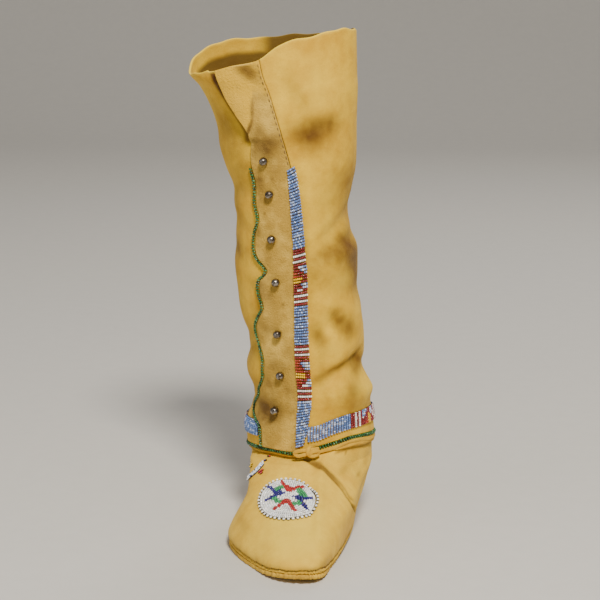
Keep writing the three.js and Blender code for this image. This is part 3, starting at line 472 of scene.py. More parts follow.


# A skin of real thickness between a face and the same face moved in by the wall. place(u, v,
# out) gives the points; within an edge's width of an open border both faces come together
# on a quarter circle. Fields are values by u and v, and "deep" is how much painted shade darkens the inner
# face.
def shellMesh(name, place, us, vs, wall, closedU, edgeU, edgeV, floats=None):
    u, v = np.meshgrid(us, vs)
    near = np.ones_like(u)
    if edgeU:
        near = np.minimum(near, np.minimum(u - us[0], us[-1] - u) / edgeU)
    if edgeV:
        near = np.minimum(near, np.minimum(v - vs[0], vs[-1] - v) / edgeV)
    sink = wall / 2 * (1 - np.sqrt(np.clip(1 - (1 - near) ** 2, 0, 1)))
    outer = place(u, v, -sink).reshape(-1, 3)
    inner = place(u, v, -wall + sink).reshape(-1, 3)
    rows, columns = u.shape
    quads = gridQuads(rows, columns, closedU)
    count = rows * columns
    innerIndex = (count + np.arange(count)).reshape(rows, columns)
    outerIndex = np.arange(count).reshape(rows, columns)
    innerIndex[0], innerIndex[-1] = outerIndex[0], outerIndex[-1]
    if not closedU:
        innerIndex[:, 0], innerIndex[:, -1] = outerIndex[:, 0], outerIndex[:, -1]
    allQuads = np.concatenate([quads, innerIndex.ravel()[quads][:, ::-1]])
    used, remapped = np.unique(allQuads, return_inverse=True)
    points = np.concatenate([outer, inner])[used]
    allQuads = turnedOut(points, remapped.reshape(-1, 4))
    fields = dict(floats or {})
    # the inner face's painted shade
    deep = fields.pop("deep")(u, v).ravel() if "deep" in fields else np.ones(count)
    values = {"inside": np.concatenate([np.zeros(count), deep])[used]}
    for key, field in fields.items():
        flat = field(u, v).ravel()
        values[key] = np.concatenate([flat, flat])[used]
    return makeMesh(name, points, allQuads, values)


# Beads as barrels threaded along an axis: rings round the axis whose radius rises and falls
# over the bead's length, for all beads at once. The side turned to the hide is darkened with
# painted shade in the colour, where the beads and thread would shade each other.
def beadMesh(name, centres, axes, outs, radius, half, colours, sides=8, seeds=None):
    profile = np.array([(-1.0, 0.5), (-0.82, 0.82), (-0.4, 0.98), (0.4, 0.98), (0.82, 0.82), (1.0, 0.5)])
    count = len(centres)
    axes = axes / np.linalg.norm(axes, axis=1, keepdims=True)
    outs = outs - axes * np.sum(outs * axes, 1, keepdims=True)
    outs = outs / np.linalg.norm(outs, axis=1, keepdims=True)
    third = np.cross(axes, outs)
    angle = np.linspace(0, 2 * np.pi, sides, endpoint=False)
    radius = np.broadcast_to(np.asarray(radius, float), (count,))
    half = np.broadcast_to(np.asarray(half, float), (count,))
    ring = outs[:, None, :] * np.cos(angle)[None, :, None] + third[:, None, :] * np.sin(angle)[None, :, None]
    points = (centres[:, None, None, :]
              + axes[:, None, None, :] * (half[:, None] * profile[:, 0])[:, :, None, None]
              + ring[:, None, :, :] * (radius[:, None] * profile[:, 1])[:, :, None, None])
    one = gridQuads(len(profile), sides, True)
    each = len(profile) * sides
    quads = (np.arange(count)[:, None, None] * each + one[None]).reshape(-1, 4)
    shade = np.repeat(rng.random(count), each)
    # painted shade: the colour darkens on the side turned to the hide
    hideSideShade = np.tile(0.22 + 0.78 * smooth((np.cos(angle) + 0.25) / 0.95), count * len(profile))
    shadedTint = np.repeat(colours, each, 0) * hideSideShade[:, None]
    return makeMesh(name, points, quads, {"beadShade": shade}, {"beadColourShaded": shadedTint})


# A tube along points: a squarish oval section carried along, its half sizes times a taper.
def tubeMesh(name, line, outward, halfOut, halfUp, taper, closed=False, sides=14):
    line = np.asarray(line, float)
    if closed:
        along = np.roll(line, -1, 0) - np.roll(line, 1, 0)
    else:
        along = np.gradient(line, axis=0)
    along /= np.linalg.norm(along, axis=1, keepdims=True)
    out = outward - along * np.sum(outward * along, 1, keepdims=True)
    out /= np.linalg.norm(out, axis=1, keepdims=True)
    up = np.cross(along, out)
    angle = np.linspace(0, 2 * np.pi, sides, endpoint=False)
    taper = np.asarray(taper, float)
    squareCos = np.sign(np.cos(angle)) * np.abs(np.cos(angle)) ** 0.7
    squareSin = np.sign(np.sin(angle)) * np.abs(np.sin(angle)) ** 0.7
    points = (line[:, None] + out[:, None] * (halfOut * taper[:, None] * squareCos)[..., None]
              + up[:, None] * (halfUp * taper[:, None] * squareSin)[..., None])
    if closed:
        points = np.concatenate([points, points[:1]])
    else:
        ends = line[[0, -1], None] + 0.04 * (points[[0, -1]] - line[[0, -1], None])
        points = np.concatenate([ends[:1], points, ends[1:]])
    rows = len(points)
    flat = points.reshape(-1, 3)
    quads = turnedOut(flat, gridQuads(rows, sides, True))
    run = np.repeat(np.linspace(0, 1, rows), sides)
    return makeMesh(name, flat, quads, {"run": run})


# Points on a smooth curve through given ones (Catmull-Rom).
def smoothLine(points, count):
    points = np.asarray(points, float)
    keys = np.concatenate([[0], np.cumsum(np.linalg.norm(np.diff(points, axis=0), axis=1))])
    at = np.linspace(0, keys[-1], count)
    rows = {"key": keys, "x": points[:, 0], "y": points[:, 1], "z": points[:, 2]}
    return np.stack([readTable(rows, "key", at, axis) for axis in "xyz"], -1)


# Camera
view = dict(target=(0.0, 0.048, 0.19), distance=1.7, elevation=12.0, azimuth=4.0, lens=121.4)


# The camera looks at the target from a distance, raised and turned by two angles.
def placeCamera():
    data = bpy.data.cameras.new("camera")
    data.lens = view["lens"]
    data.sensor_width = 36
    camera = bpy.data.objects.new("camera", data)
    collection.objects.link(camera)
    up, side = math.radians(view["elevation"]), math.radians(view["azimuth"])
    away = Vector((math.sin(side) * math.cos(up), -math.cos(side) * math.cos(up), math.sin(up)))
    camera.location = Vector(view["target"]) + away * view["distance"]
    camera.rotation_euler = (-away).to_track_quat("-Z", "Y").to_euler()
    bpy.context.scene.camera = camera


placeCamera()
report("camera")


# Node groups
# An empty group with its sockets, and its input and output nodes.
def newGroup(name, inputs, outputs):
    group = bpy.data.node_groups.new(name, "ShaderNodeTree")
    for socketName, kind, default in inputs:
        socket = group.interface.new_socket(socketName, in_out="INPUT", socket_type=kind)
        if default is not None:
            socket.default_value = default
    for socketName, kind in outputs:
        group.interface.new_socket(socketName, in_out="OUTPUT", socket_type=kind)
    return group, group.nodes.new("NodeGroupInput"), group.nodes.new("NodeGroupOutput")


# The helpers below put a node in, set its sockets and return its output.
def addNoise(nodes, links, vector, scale, detail, rough=0.55):
    node = nodes.new("ShaderNodeTexNoise")
    node.inputs["Scale"].default_value = scale
    node.inputs["Detail"].default_value = detail
    node.inputs["Roughness"].default_value = rough
    links.new(vector, node.inputs["Vector"])
    return node.outputs["Fac"]


def addRange(nodes, links, value, low, high, toLow=0.0, toHigh=1.0):
    node = nodes.new("ShaderNodeMapRange")
    node.inputs["From Min"].default_value = low
    node.inputs["From Max"].default_value = high
    node.inputs["To Min"].default_value = toLow
    node.inputs["To Max"].default_value = toHigh
    links.new(value, node.inputs["Value"])
    return node.outputs["Result"]


def addMath(nodes, links, operation, a, b=None, clamp=False):
    node = nodes.new("ShaderNodeMath")
    node.operation = operation
    node.use_clamp = clamp
    for index, value in enumerate((a, b)):
        if value is None:
            continue
        if isinstance(value, (int, float)):
            node.inputs[index].default_value = value
        else:
            links.new(value, node.inputs[index])
    return node.outputs[0]


def addMix(nodes, links, factor, a, b, blend="MIX"):
    node = nodes.new("ShaderNodeMix")
    node.data_type = "RGBA"
    node.blend_type = blend
    for socket, value in ((node.inputs[0], factor), (node.inputs[6], a), (node.inputs[7], b)):
        if isinstance(value, (int, float, tuple)):
            socket.default_value = value
        else:
            links.new(value, socket)
    return node.outputs[2]


def addAttribute(nodes, name, output="Fac"):
    node = nodes.new("ShaderNodeAttribute")
    node.attribute_name = name
    return node.outputs[output]


def addBump(nodes, links, height, distance, strength):
    node = nodes.new("ShaderNodeBump")
    node.inputs["Distance"].default_value = distance
    node.inputs["Strength"].default_value = strength
    links.new(height, node.inputs["Height"])
    return node.outputs["Normal"]


# A material with its nodes, links, shader and the piece's own coordinates.
def newMaterial(name):
    material = bpy.data.materials.new(name)
    material.use_nodes = True
    nodes, links = material.node_tree.nodes, material.node_tree.links
    return material, nodes, links, nodes["Principled BSDF"], nodes.new("ShaderNodeTexCoord").outputs["Object"]


# Tanned hide: two tones in soft blotches, a stain colour for stains and painted shade where the
# mesh says so, a fine nap and pores for the height.
def makeHideGroup():
    colour = "NodeSocketColor"
    value = "NodeSocketFloat"
    group, source, sink = newGroup(
        "hideLook",
        [("Vector", "NodeSocketVector", None), ("Light", colour, (0.7, 0.5, 0.2, 1)),
         ("Deep", colour, (0.5, 0.33, 0.1, 1)), ("StainShade", colour, (0.16, 0.08, 0.02, 1)),
         ("GrimeShade", value, 0.0), ("Blotch", value, 1.0), ("Nap", value, 1.0)],
        [("Color", colour), ("Height", value), ("Roughness", value)])
    nodes, links = group.nodes, group.links
    vector = source.outputs["Vector"]
    broad = addNoise(nodes, links, vector, 26.0, 3.0)
    middle = addNoise(nodes, links, vector, 110.0, 4.0)
    fine = addNoise(nodes, links, vector, 620.0, 3.0, 0.65)
    nap = addNoise(nodes, links, vector, 2400.0, 2.0, 0.7)
    blotch = addMath(nodes, links, "ADD", addMath(nodes, links, "MULTIPLY", broad, 0.6),
                     addMath(nodes, links, "MULTIPLY", middle, 0.4))
    tone = addRange(nodes, links, blotch, 0.36, 0.62)
    tone = addMath(nodes, links, "MULTIPLY", tone, source.outputs["Blotch"], True)
    base = addMix(nodes, links, tone, source.outputs["Light"], source.outputs["Deep"])
    speck = addRange(nodes, links, fine, 0.55, 0.72, 0.0, 0.5)
    base = addMix(nodes, links, speck, base, source.outputs["Deep"])
    # the grime mask, stains and painted shade, darkens towards the stain colour with ragged edges
    raggedGrimeShade = addMath(nodes, links, "MULTIPLY", source.outputs["GrimeShade"],
                     addRange(nodes, links, blotch, 0.25, 0.7, 0.75, 1.15), True)
    base = addMix(nodes, links, raggedGrimeShade, base, source.outputs["StainShade"])
    light = addRange(nodes, links, nap, 0.3, 0.75, 0.88, 1.1)
    base = addMix(nodes, links, 1.0, base, light, "MULTIPLY")
    pores = nodes.new("ShaderNodeTexVoronoi")
    pores.inputs["Scale"].default_value = 900.0
    links.new(vector, pores.inputs["Vector"])
    pits = addRange(nodes, links, pores.outputs["Distance"], 0.0, 0.35, -0.5, 0.0)
    height = addMath(nodes, links, "ADD", addMath(nodes, links, "MULTIPLY", nap, 0.35),
                     addMath(nodes, links, "MULTIPLY", fine, 0.8))
    height = addMath(nodes, links, "ADD", height, addMath(nodes, links, "MULTIPLY", pits, 0.3))
    height = addMath(nodes, links, "MULTIPLY", height, source.outputs["Nap"])
    height = addMath(nodes, links, "ADD", height, addMath(nodes, links, "MULTIPLY", middle, 1.6))
    links.new(base, sink.inputs["Color"])
    links.new(height, sink.inputs["Height"])
    links.new(addRange(nodes, links, middle, 0.3, 0.7, 0.72, 0.9), sink.inputs["Roughness"])
    return group


hideGroup = makeHideGroup()


# Hide: the group's colour, paler with wear and painted highlight, plain on its smooth side and
# darkened with painted shade on the inner face, with a bump from its nap and pores.
def hideMaterial(name, look):
    material, nodes, links, shader, vector = newMaterial(name)
    hide = nodes.new("ShaderNodeGroup")
    hide.node_tree = hideGroup
    links.new(vector, hide.inputs["Vector"])
    for socket in ("Light", "Deep", "StainShade"):
        hide.inputs[socket].default_value = (*look[socket.lower()], 1)
    hide.inputs["Blotch"].default_value = look.get("blotch", 1.0)
    hide.inputs["Nap"].default_value = look.get("nap", 1.0)
    grimeShade = addAttribute(nodes, "grimeShade")
    links.new(grimeShade, hide.inputs["GrimeShade"])
    # paler where worn and where a highlight is painted
    wornAndLit = (*[min(0.92, 1.15 * tone + 0.02) for tone in look["light"]], 1)
    colour = addMix(nodes, links, addAttribute(nodes, "paleAndHighlight"), hide.outputs["Color"], wornAndLit)
    if "skin" in look:
        clean = addMath(nodes, links, "SUBTRACT", 1.0, grimeShade)
        plain = addMath(nodes, links, "MULTIPLY", addAttribute(nodes, "skinSide"), clean)
        colour = addMix(nodes, links, plain, colour, (*look["skin"], 1))
    # painted shade: the inner face is darkened towards its own colour
    if "inside" in look:
        shadedLining = addMix(nodes, links, 0.92, colour, (*look["inside"], 1))
        colour = addMix(nodes, links, addAttribute(nodes, "inside"), colour, shadedLining)
    links.new(colour, shader.inputs["Base Color"])
    links.new(hide.outputs["Roughness"], shader.inputs["Roughness"])
    shader.inputs["Specular IOR Level"].default_value = 0.28
    shader.inputs["Sheen Weight"].default_value = 0.1
    shader.inputs["Sheen Roughness"].default_value = 0.5
    shader.inputs["Sheen Tint"].default_value = (1.0, 0.84, 0.5, 1)
    bump, strength = look.get("bump", 0.0007), look.get("strength", 0.55)
    links.new(addBump(nodes, links, hide.outputs["Height"], bump, strength), shader.inputs["Normal"])
    return material


# Glass beads: the bead's own colour with its painted shade, a little lighter or darker from bead to bead.
def beadMaterial(name, rough=0.16, coat=0.4):
    material, nodes, links, shader, vector = newMaterial(name)
    cloud = addNoise(nodes, links, vector, 900.0, 2.0)
    light = addMath(nodes, links, "MULTIPLY",
                    addRange(nodes, links, addAttribute(nodes, "beadShade"), 0, 1, 0.72, 1.18),
                    addRange(nodes, links, cloud, 0.3, 0.7, 0.9, 1.08))
    base = addMix(nodes, links, 1.0, addAttribute(nodes, "beadColourShaded", "Color"), light, "MULTIPLY")
    links.new(base, shader.inputs["Base Color"])
    links.new(addRange(nodes, links, cloud, 0.35, 0.7, rough, rough + 0.15), shader.inputs["Roughness"])
    shader.inputs["Coat Weight"].default_value = coat
    shader.inputs["Coat Roughness"].default_value = 0.08
    return material


# Gives a piece its material and tells the frame its body and the solids it stands for; its slot name is not
# used.
def setPiece(obj, material, slotName, *nodes):
    obj.data.materials.clear()
    obj.data.materials.append(material)
    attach(obj, "root")
    if nodes:
        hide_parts(*nodes)
    return obj


# Thong, knot and loose end
thongLook = dict(
    light=(0.78, 0.47, 0.035), deep=(0.52, 0.27, 0.015), stainshade=(0.12, 0.05, 0.006), bump=0.0005,
    half=1.4, thick=0.9,  # half height and half thickness
    thin=0.62, full=1.45,  # shares of them on the outer and the inner side of the knot
    points=420,
)
thongMaterial = hideMaterial("thongHide", thongLook)


# From the hem down to the thong's middle: past the edging, with a gap over and under it.
def tieDrop():
    return 2 * edging["radius"] + 2 * boot["clearance"] + thongLook["half"]


# The thong round the ankle: a closed flat strap just under the hem's edging, wider on the
# inner side of the knot, where it isn't pulled thin.
def makeTie():
    turn = np.linspace(0, 1, thongLook["points"], endpoint=False)
    local = wrapTurn(turn)
    wide = mix(thongLook["thin"], thongLook["full"], smooth(local / 0.04) * smooth((0.42 - local) / 0.1))
    z = hemAt(turn) - tieDrop() + 0.7 * (1 - wide) + 0.3 * wave(turn, 9)
    line = anklePoint(turn, z, boot["clearance"] + thongLook["thick"] + 0.5 * (wide - thongLook["thin"]))
    outward = anklePoint(turn, z, 1.0) - anklePoint(turn, z, 0.0)
    outward[:, 2] += 0.5 * wave(turn, 5, 1)
    tie = tubeMesh("ankleTie", line, outward, thongLook["thick"], thongLook["half"], wide, True)
    setPiece(tie, thongMaterial, "thong_hide", "ankle_tie")


thongEnd = dict(
    turn=[0.075, 0.1, 0.14, 0.18, 0.22, 0.26, 0.3],
    level=[0.718, 0.725, 0.73, 0.732, 0.732, 0.732, 0.732],
    diameter=2.6, seat=1.45, halfOut=0.85, halfUp=1.75, point=0.16, points=60,
)


# The loose end: a tube along the same places as its solid, drawn out to a point in front.
def makeThongEnd():
    turn = np.linspace(thongEnd["turn"][-1], thongEnd["turn"][0], thongEnd["points"])
    level = readTable(thongEnd, "turn", turn, "level")
    line = footOut(turn, level, np.full_like(turn, thongEnd["seat"]))
    outward = surfaceNormal(footPoint, turn, level)
    share = np.linspace(0, 1, thongEnd["points"])
    taper = np.sqrt(np.clip((1 - share) / thongEnd["point"], 0.16, 1)) * (1 + 0.12 * np.sin(share * 23))
    end = tubeMesh("thongEnd", line, outward, thongEnd["halfOut"], thongEnd["halfUp"], taper)
    setPiece(end, thongMaterial, "thong_hide", "tie_end")


knot = dict(
    depth=7.0, x=9.0, rise=1.2, sink=0.5, cord=3.3, points=150,
    # across, up and out from the knot's middle, in millimetres
    path=[(10.0, 2.4, -1.8), (6.4, 2.2, 0.0), (1.6, 1.8, 1.2), (-3.4, 1.4, 1.6), (-8.0, 0.2, 1.0),
          (-9.8, -1.6, 0.2), (-7.4, -3.6, 0.4), (-3.0, -2.6, 1.2), (1.4, -1.2, 1.2), (6.0, 0.4, 0.8),
          (9.2, 0.6, 0.0), (9.6, -1.6, -0.8), (6.6, -3.4, 0.0), (3.0, -3.0, 1.6), (1.4, -0.6, 3.0),
          (1.6, 2.4, 2.8), (2.8, 3.9, 1.0), (4.0, 2.6, -1.4), (5.6, -0.6, -2.4)],
)


# The knot: one cord through given points, two turns that cross over themselves.
def makeKnot():
    turn = float(turnAtSide(knot["x"] - boot["legAxisX"], boot["hemHeight"]))
    z = float(hemAt(turn)) - edging["radius"] - boot["clearance"] + knot["rise"]
    middle = legPoint(turn, z, edging["radius"] - knot["sink"] + boot["clearance"] + knot["depth"] / 2)
    normal = legOutward(turn, z)
    up = np.array([0.0, 0.0, 1.0])
    across = np.cross(up, normal)
    local = np.array(knot["path"])
    points = middle + local[:, :1] * across + local[:, 1:2] * up + local[:, 2:] * normal
    line = smoothLine(points, knot["points"])
    piece = tubeMesh("tieKnot", line, np.tile(normal, (len(line), 1)), knot["cord"] * 0.3, knot["cord"] * 0.5,
                     np.ones(len(line)))
    setPiece(piece, thongMaterial, "thong_hide", "tie_knot")


makeTie()
makeThongEnd()
makeKnot()
report("thong")


# Leg
# Creases: from turn, height to turn, height, then width, depth and the ridge's
# share. Stains, partly painted shade, and pale wear with painted highlights: the same with width and
# strength.
legSkin = dict(
    columns=222, rows=198, border=0.003, gapFrom=326, gapTo=390,
    # the stain colour paints stains and painted shade; the inner face's colour is painted shade
    light=(0.87, 0.54, 0.03), deep=(0.64, 0.345, 0.015), stainshade=(0.1, 0.035, 0.002),
    inside=(0.09, 0.045, 0.006),
    creases=[
        (0.25, 244, 0.12, 239, 7.0, 3.9, 0.6), (0.12, 239, 0.04, 224, 7.0, 2.2, 0.5),
        (0.26, 228, 0.12, 222, 10.0, 1.2, -0.4), (0.05, 136, 0.14, 142, 4.0, 1.6, 0.5),
        (0.14, 142, 0.24, 150, 5.0, 3.2, 0.6), (0.165, 133, 0.205, 147, 6.0, 2.2, 0.2),
        (0.1, 128, 0.24, 131, 9.0, 1.0, -0.3), (0.09, 186, 0.155, 168, 7.0, 2.4, 0.5),
        (0.04, 176, 0.07, 160, 6.0, 1.6, 0.4), (0.02, 338, 0.15, 344, 9.0, 2.2, 0.5),
        (0.16, 205, 0.26, 196, 9.0, 0.8, 0.2), (0.2, 272, 0.27, 262, 10.0, 1.2, 0.2),
        (0.07, 272, 0.19, 286, 12.0, 1.0, 0.3), (0.06, 212, 0.2, 206, 9.0, 1.2, 0.4),
        (0.1, 300, 0.2, 292, 14.0, 0.9, 0.0), (0.12, 345, 0.22, 372, 16.0, 0.7, 0.0),
        (0.26, 180, 0.4, 170, 9.0, 2.2, 0.3), (0.3, 250, 0.46, 262, 10.0, 2.0, 0.3),
        (0.28, 132, 0.42, 122, 7.0, 2.0, 0.4), (0.21, 138, 0.29, 136, 6.0, 2.0, 0.0),
        (0.2, 115, 0.29, 114, 9.0, -2.8, 0.0), (0.36, 300, 0.5, 310, 14.0, 1.6, 0.2),
        (-0.16, 232, -0.3, 240, 9.0, 1.8, 0.3), (-0.14, 166, -0.28, 158, 7.0, 1.8, 0.4),
        (-0.15, 120, -0.3, 112, 7.0, 1.8, 0.4), (-0.3, 200, -0.46, 190, 10.0, 2.2, 0.3),
        (-0.12, 290, -0.24, 284, 9.0, 1.4, 0.2), (-0.34, 150, -0.48, 140, 9.0, 2.0, 0.3),
        (-0.13, 340, -0.2, 330, 12.0, 1.2, 0.2), (-0.36, 270, -0.5, 262, 12.0, 1.8, 0.2),
    ],
    stainsAndShade=[
        (0.022, 340, 0.059, 336, 8.0, 0.6), (0.059, 336, 0.106, 342, 8.5, 0.85),
        (0.106, 342, 0.128, 341, 7.0, 0.75), (0.03, 331, 0.1, 328, 11.0, 0.5),
        (0.05, 334, 0.07, 333, 5.0, 0.6), (-0.17, 350, -0.1, 318, 14.0, 0.6),
        (-0.13, 312, -0.11, 298, 12.0, 0.45), (0.07, 233, 0.14, 239, 6.0, 0.9),
        (0.14, 239, 0.2, 241, 9.0, 1.1), (0.195, 238, 0.225, 218, 12.0, 1.9),
        (0.1, 231, 0.19, 238, 6.0, 0.7), (0.215, 222, 0.24, 196, 8.0, 0.6),
        (0.05, 226, 0.07, 216, 7.0, 0.4), (0.018, 130, 0.08, 137, 3.0, 0.45),
        (0.08, 137, 0.175, 144, 3.2, 0.7), (0.18, 142, 0.225, 143, 5.5, 1.9),
        (0.17, 136, 0.2, 134, 5.0, 0.6), (0.115, 117, 0.165, 122, 6.0, 0.9),
        (0.116, 183, 0.13, 177, 7.5, 0.85), (0.132, 174, 0.168, 170, 8.5, 0.9),
        (0.1, 190, 0.118, 182, 6.0, 0.4), (0.036, 174, 0.07, 160, 6.0, 0.6),
        (0.15, 214, 0.24, 218, 12.0, 0.35), (0.14, 300, 0.24, 290, 14.0, 0.3),
        (0.03, 255, 0.03, 225, 5.0, 0.35), (0.06, 115, 0.16, 108, 8.0, 0.35),
        (0.03, 385, 0.06, 350, 6.0, 0.3), (-0.17, 104, -0.12, 100, 7.0, 0.7),
        (-0.14, 236, -0.22, 240, 9.0, 0.55), (-0.12, 214, -0.1, 208, 6.0, 0.5),
        (-0.12, 186, -0.11, 178, 6.0, 0.6), (-0.15, 100, -0.12, 96, 6.0, 1.2),
        (-0.13, 150, -0.2, 146, 8.0, 0.5), (-0.16, 280, -0.2, 270, 10.0, 0.4),
        (0.03, 300, 0.045, 220, 5.0, 0.22), (0.045, 215, 0.055, 110, 5.0, 0.22),
        (0.2, 330, 0.24, 200, 18.0, 0.25), (0.1, 105, 0.24, 106, 7.0, 0.25), (0.3, 82, 0.5, 78, 7.0, 0.4),
        (-0.2, 80, -0.45, 80, 7.0, 0.4), (0.35, 300, 0.45, 200, 30.0, 0.2),
        (-0.3, 260, -0.4, 160, 26.0, 0.25),
    ],
    palesAndHighlights=[
        (0.06, 375, 0.12, 372, 22.0, 0.35), (0.08, 300, 0.12, 270, 16.0, 0.2),
        (0.1, 208, 0.18, 212, 9.0, 0.25), (0.13, 122, 0.22, 120, 8.0, 0.3),
        (0.07, 155, 0.12, 157, 8.0, 0.25), (0.16, 186, 0.24, 184, 8.0, 0.25),
        (0.07, 255, 0.16, 262, 10.0, 0.2), (-0.22, 372, -0.2, 340, 12.0, 0.25),
    ],
)


# Creases that both the leg and the flap follow, so that they stay a constant gap apart.
def legRelief(turn, z):
    fade = smooth((z - 103) / 14) * smooth((rimAt(turn) - z) / 10 + 0.35)
    return creaseField(wrapTurn(turn), z, legSkin["creases"]) * fade


# Painted shadow in the gap under the flap's upper free edge, where it stands off the wrap: a narrow
# bell on the distance to that edge.
def gapShade(turn, z):
    far = (wrapTurn(turn) - edgeTurn(z)) * skinLength
    span = smooth((z - legSkin["gapFrom"]) / 6) * smooth((legSkin["gapTo"] - z) / 10)
    return 2.4 * bell(far + 3.0, 2.3) * span


# Small sideways wave of the rim: the hide's edge isn't a true curve.
def rimWave(turn):
    return 0.9 * wave(turn, 7, 0.6) + 0.6 * wave(turn, 17, 2.0)


# The leg: from the seam round to the flap's free edge, then pressed in under the flap. The
# first nine tenths of u go round the leg and the last tenth under the flap.
def makeLeg():
    def place(u, v, out):
        seam, edge = onLine(seamTurn, v), onLine(edgeTurn, v)
        z0 = mix(hemAt(seam), rimAt(seam), v)
        end = 1 - turnLength(boot["wrapSlit"], z0) / (seam - edge)
        under = np.clip((u - 0.9) / 0.1, 0, 1) * end
        onWrap = mix(seam + turnLength(0.15, z0), 1 + edge, u / 0.9)
        turn = np.where(u <= 0.9, onWrap, 1 + mix(edge, seam, under))
        z = mix(hemAt(turn), rimAt(turn), v)
        lap = np.where(u > 0.9, lapStep * lapShare(wrapTurn(turn), z), 0)
        soft = legRelief(turn, z) * np.where(u > 0.9, 1 - under, smooth((u - 0.02) / 0.05))
        rise = 0.8 * rimWave(turn) * smooth((v - 0.9) / 0.1) * np.where(u > 0.88, 0, smooth(u / 0.05))
        return legPoint(turn, z + rise, out - lap + soft)

    def onLeg(field):
        def values(u, v):
            seam, edge = onLine(seamTurn, v), onLine(edgeTurn, v)
            turn = np.where(u <= 0.9, mix(seam, 1 + edge, u / 0.9), 1 + edge)
            return field(wrapTurn(turn), mix(hemAt(turn), rimAt(turn), v))
        return values

    # stains and painted shade: the strokes, partly painted fold shade, a painted shadow in the flap's gap and
    # painted shade in the crease troughs
    def grimeShadeAt(turn, z):
        troughShade = 0.5 * np.clip(-legRelief(turn, z) / 3.0, 0, 0.6)
        return softened(1.2 * strokeField(turn, z, legSkin["stainsAndShade"]) + 2 * gapShade(turn, z) + troughShade)

    # painted shade on the inner face: dark below the rim, and right up to it on the inner side
    def innerShadeAt(turn, z):
        sideways = legPoint(turn, z, 0)[..., 0]
        return np.maximum(0.08 + 0.92 * smooth((sideways + 42) / 16), smooth((rimAt(turn) - z - 8.5) / 6))

    # paler on the ridges and where the strokes say, as wear and painted highlight, and along the cut edge of
    # the rim
    def paleHighlightAt(turn, z):
        ridges = 0.25 * np.clip(legRelief(turn, z) / 2.0, 0, 1)
        rim = 0.9 * smooth((z - rimAt(turn) + 1.6) / 1.6)
        return np.clip(strokeField(turn, z, legSkin["palesAndHighlights"]) + ridges + rim, 0, 1)

    border = legSkin["border"]
    us, vs = edgeSteps(legSkin["columns"], border), edgeSteps(legSkin["rows"], border)
    fields = {"grimeShade": onLeg(grimeShadeAt), "deep": onLeg(innerShadeAt), "paleAndHighlight": onLeg(paleHighlightAt)}
    leg = shellMesh("legShaft", place, us, vs, boot["hideWall"], False, border, border, fields)
    setPiece(leg, hideMaterial("legHide", legSkin), "leg_hide", "leg_shaft")


makeLeg()
report("leg")


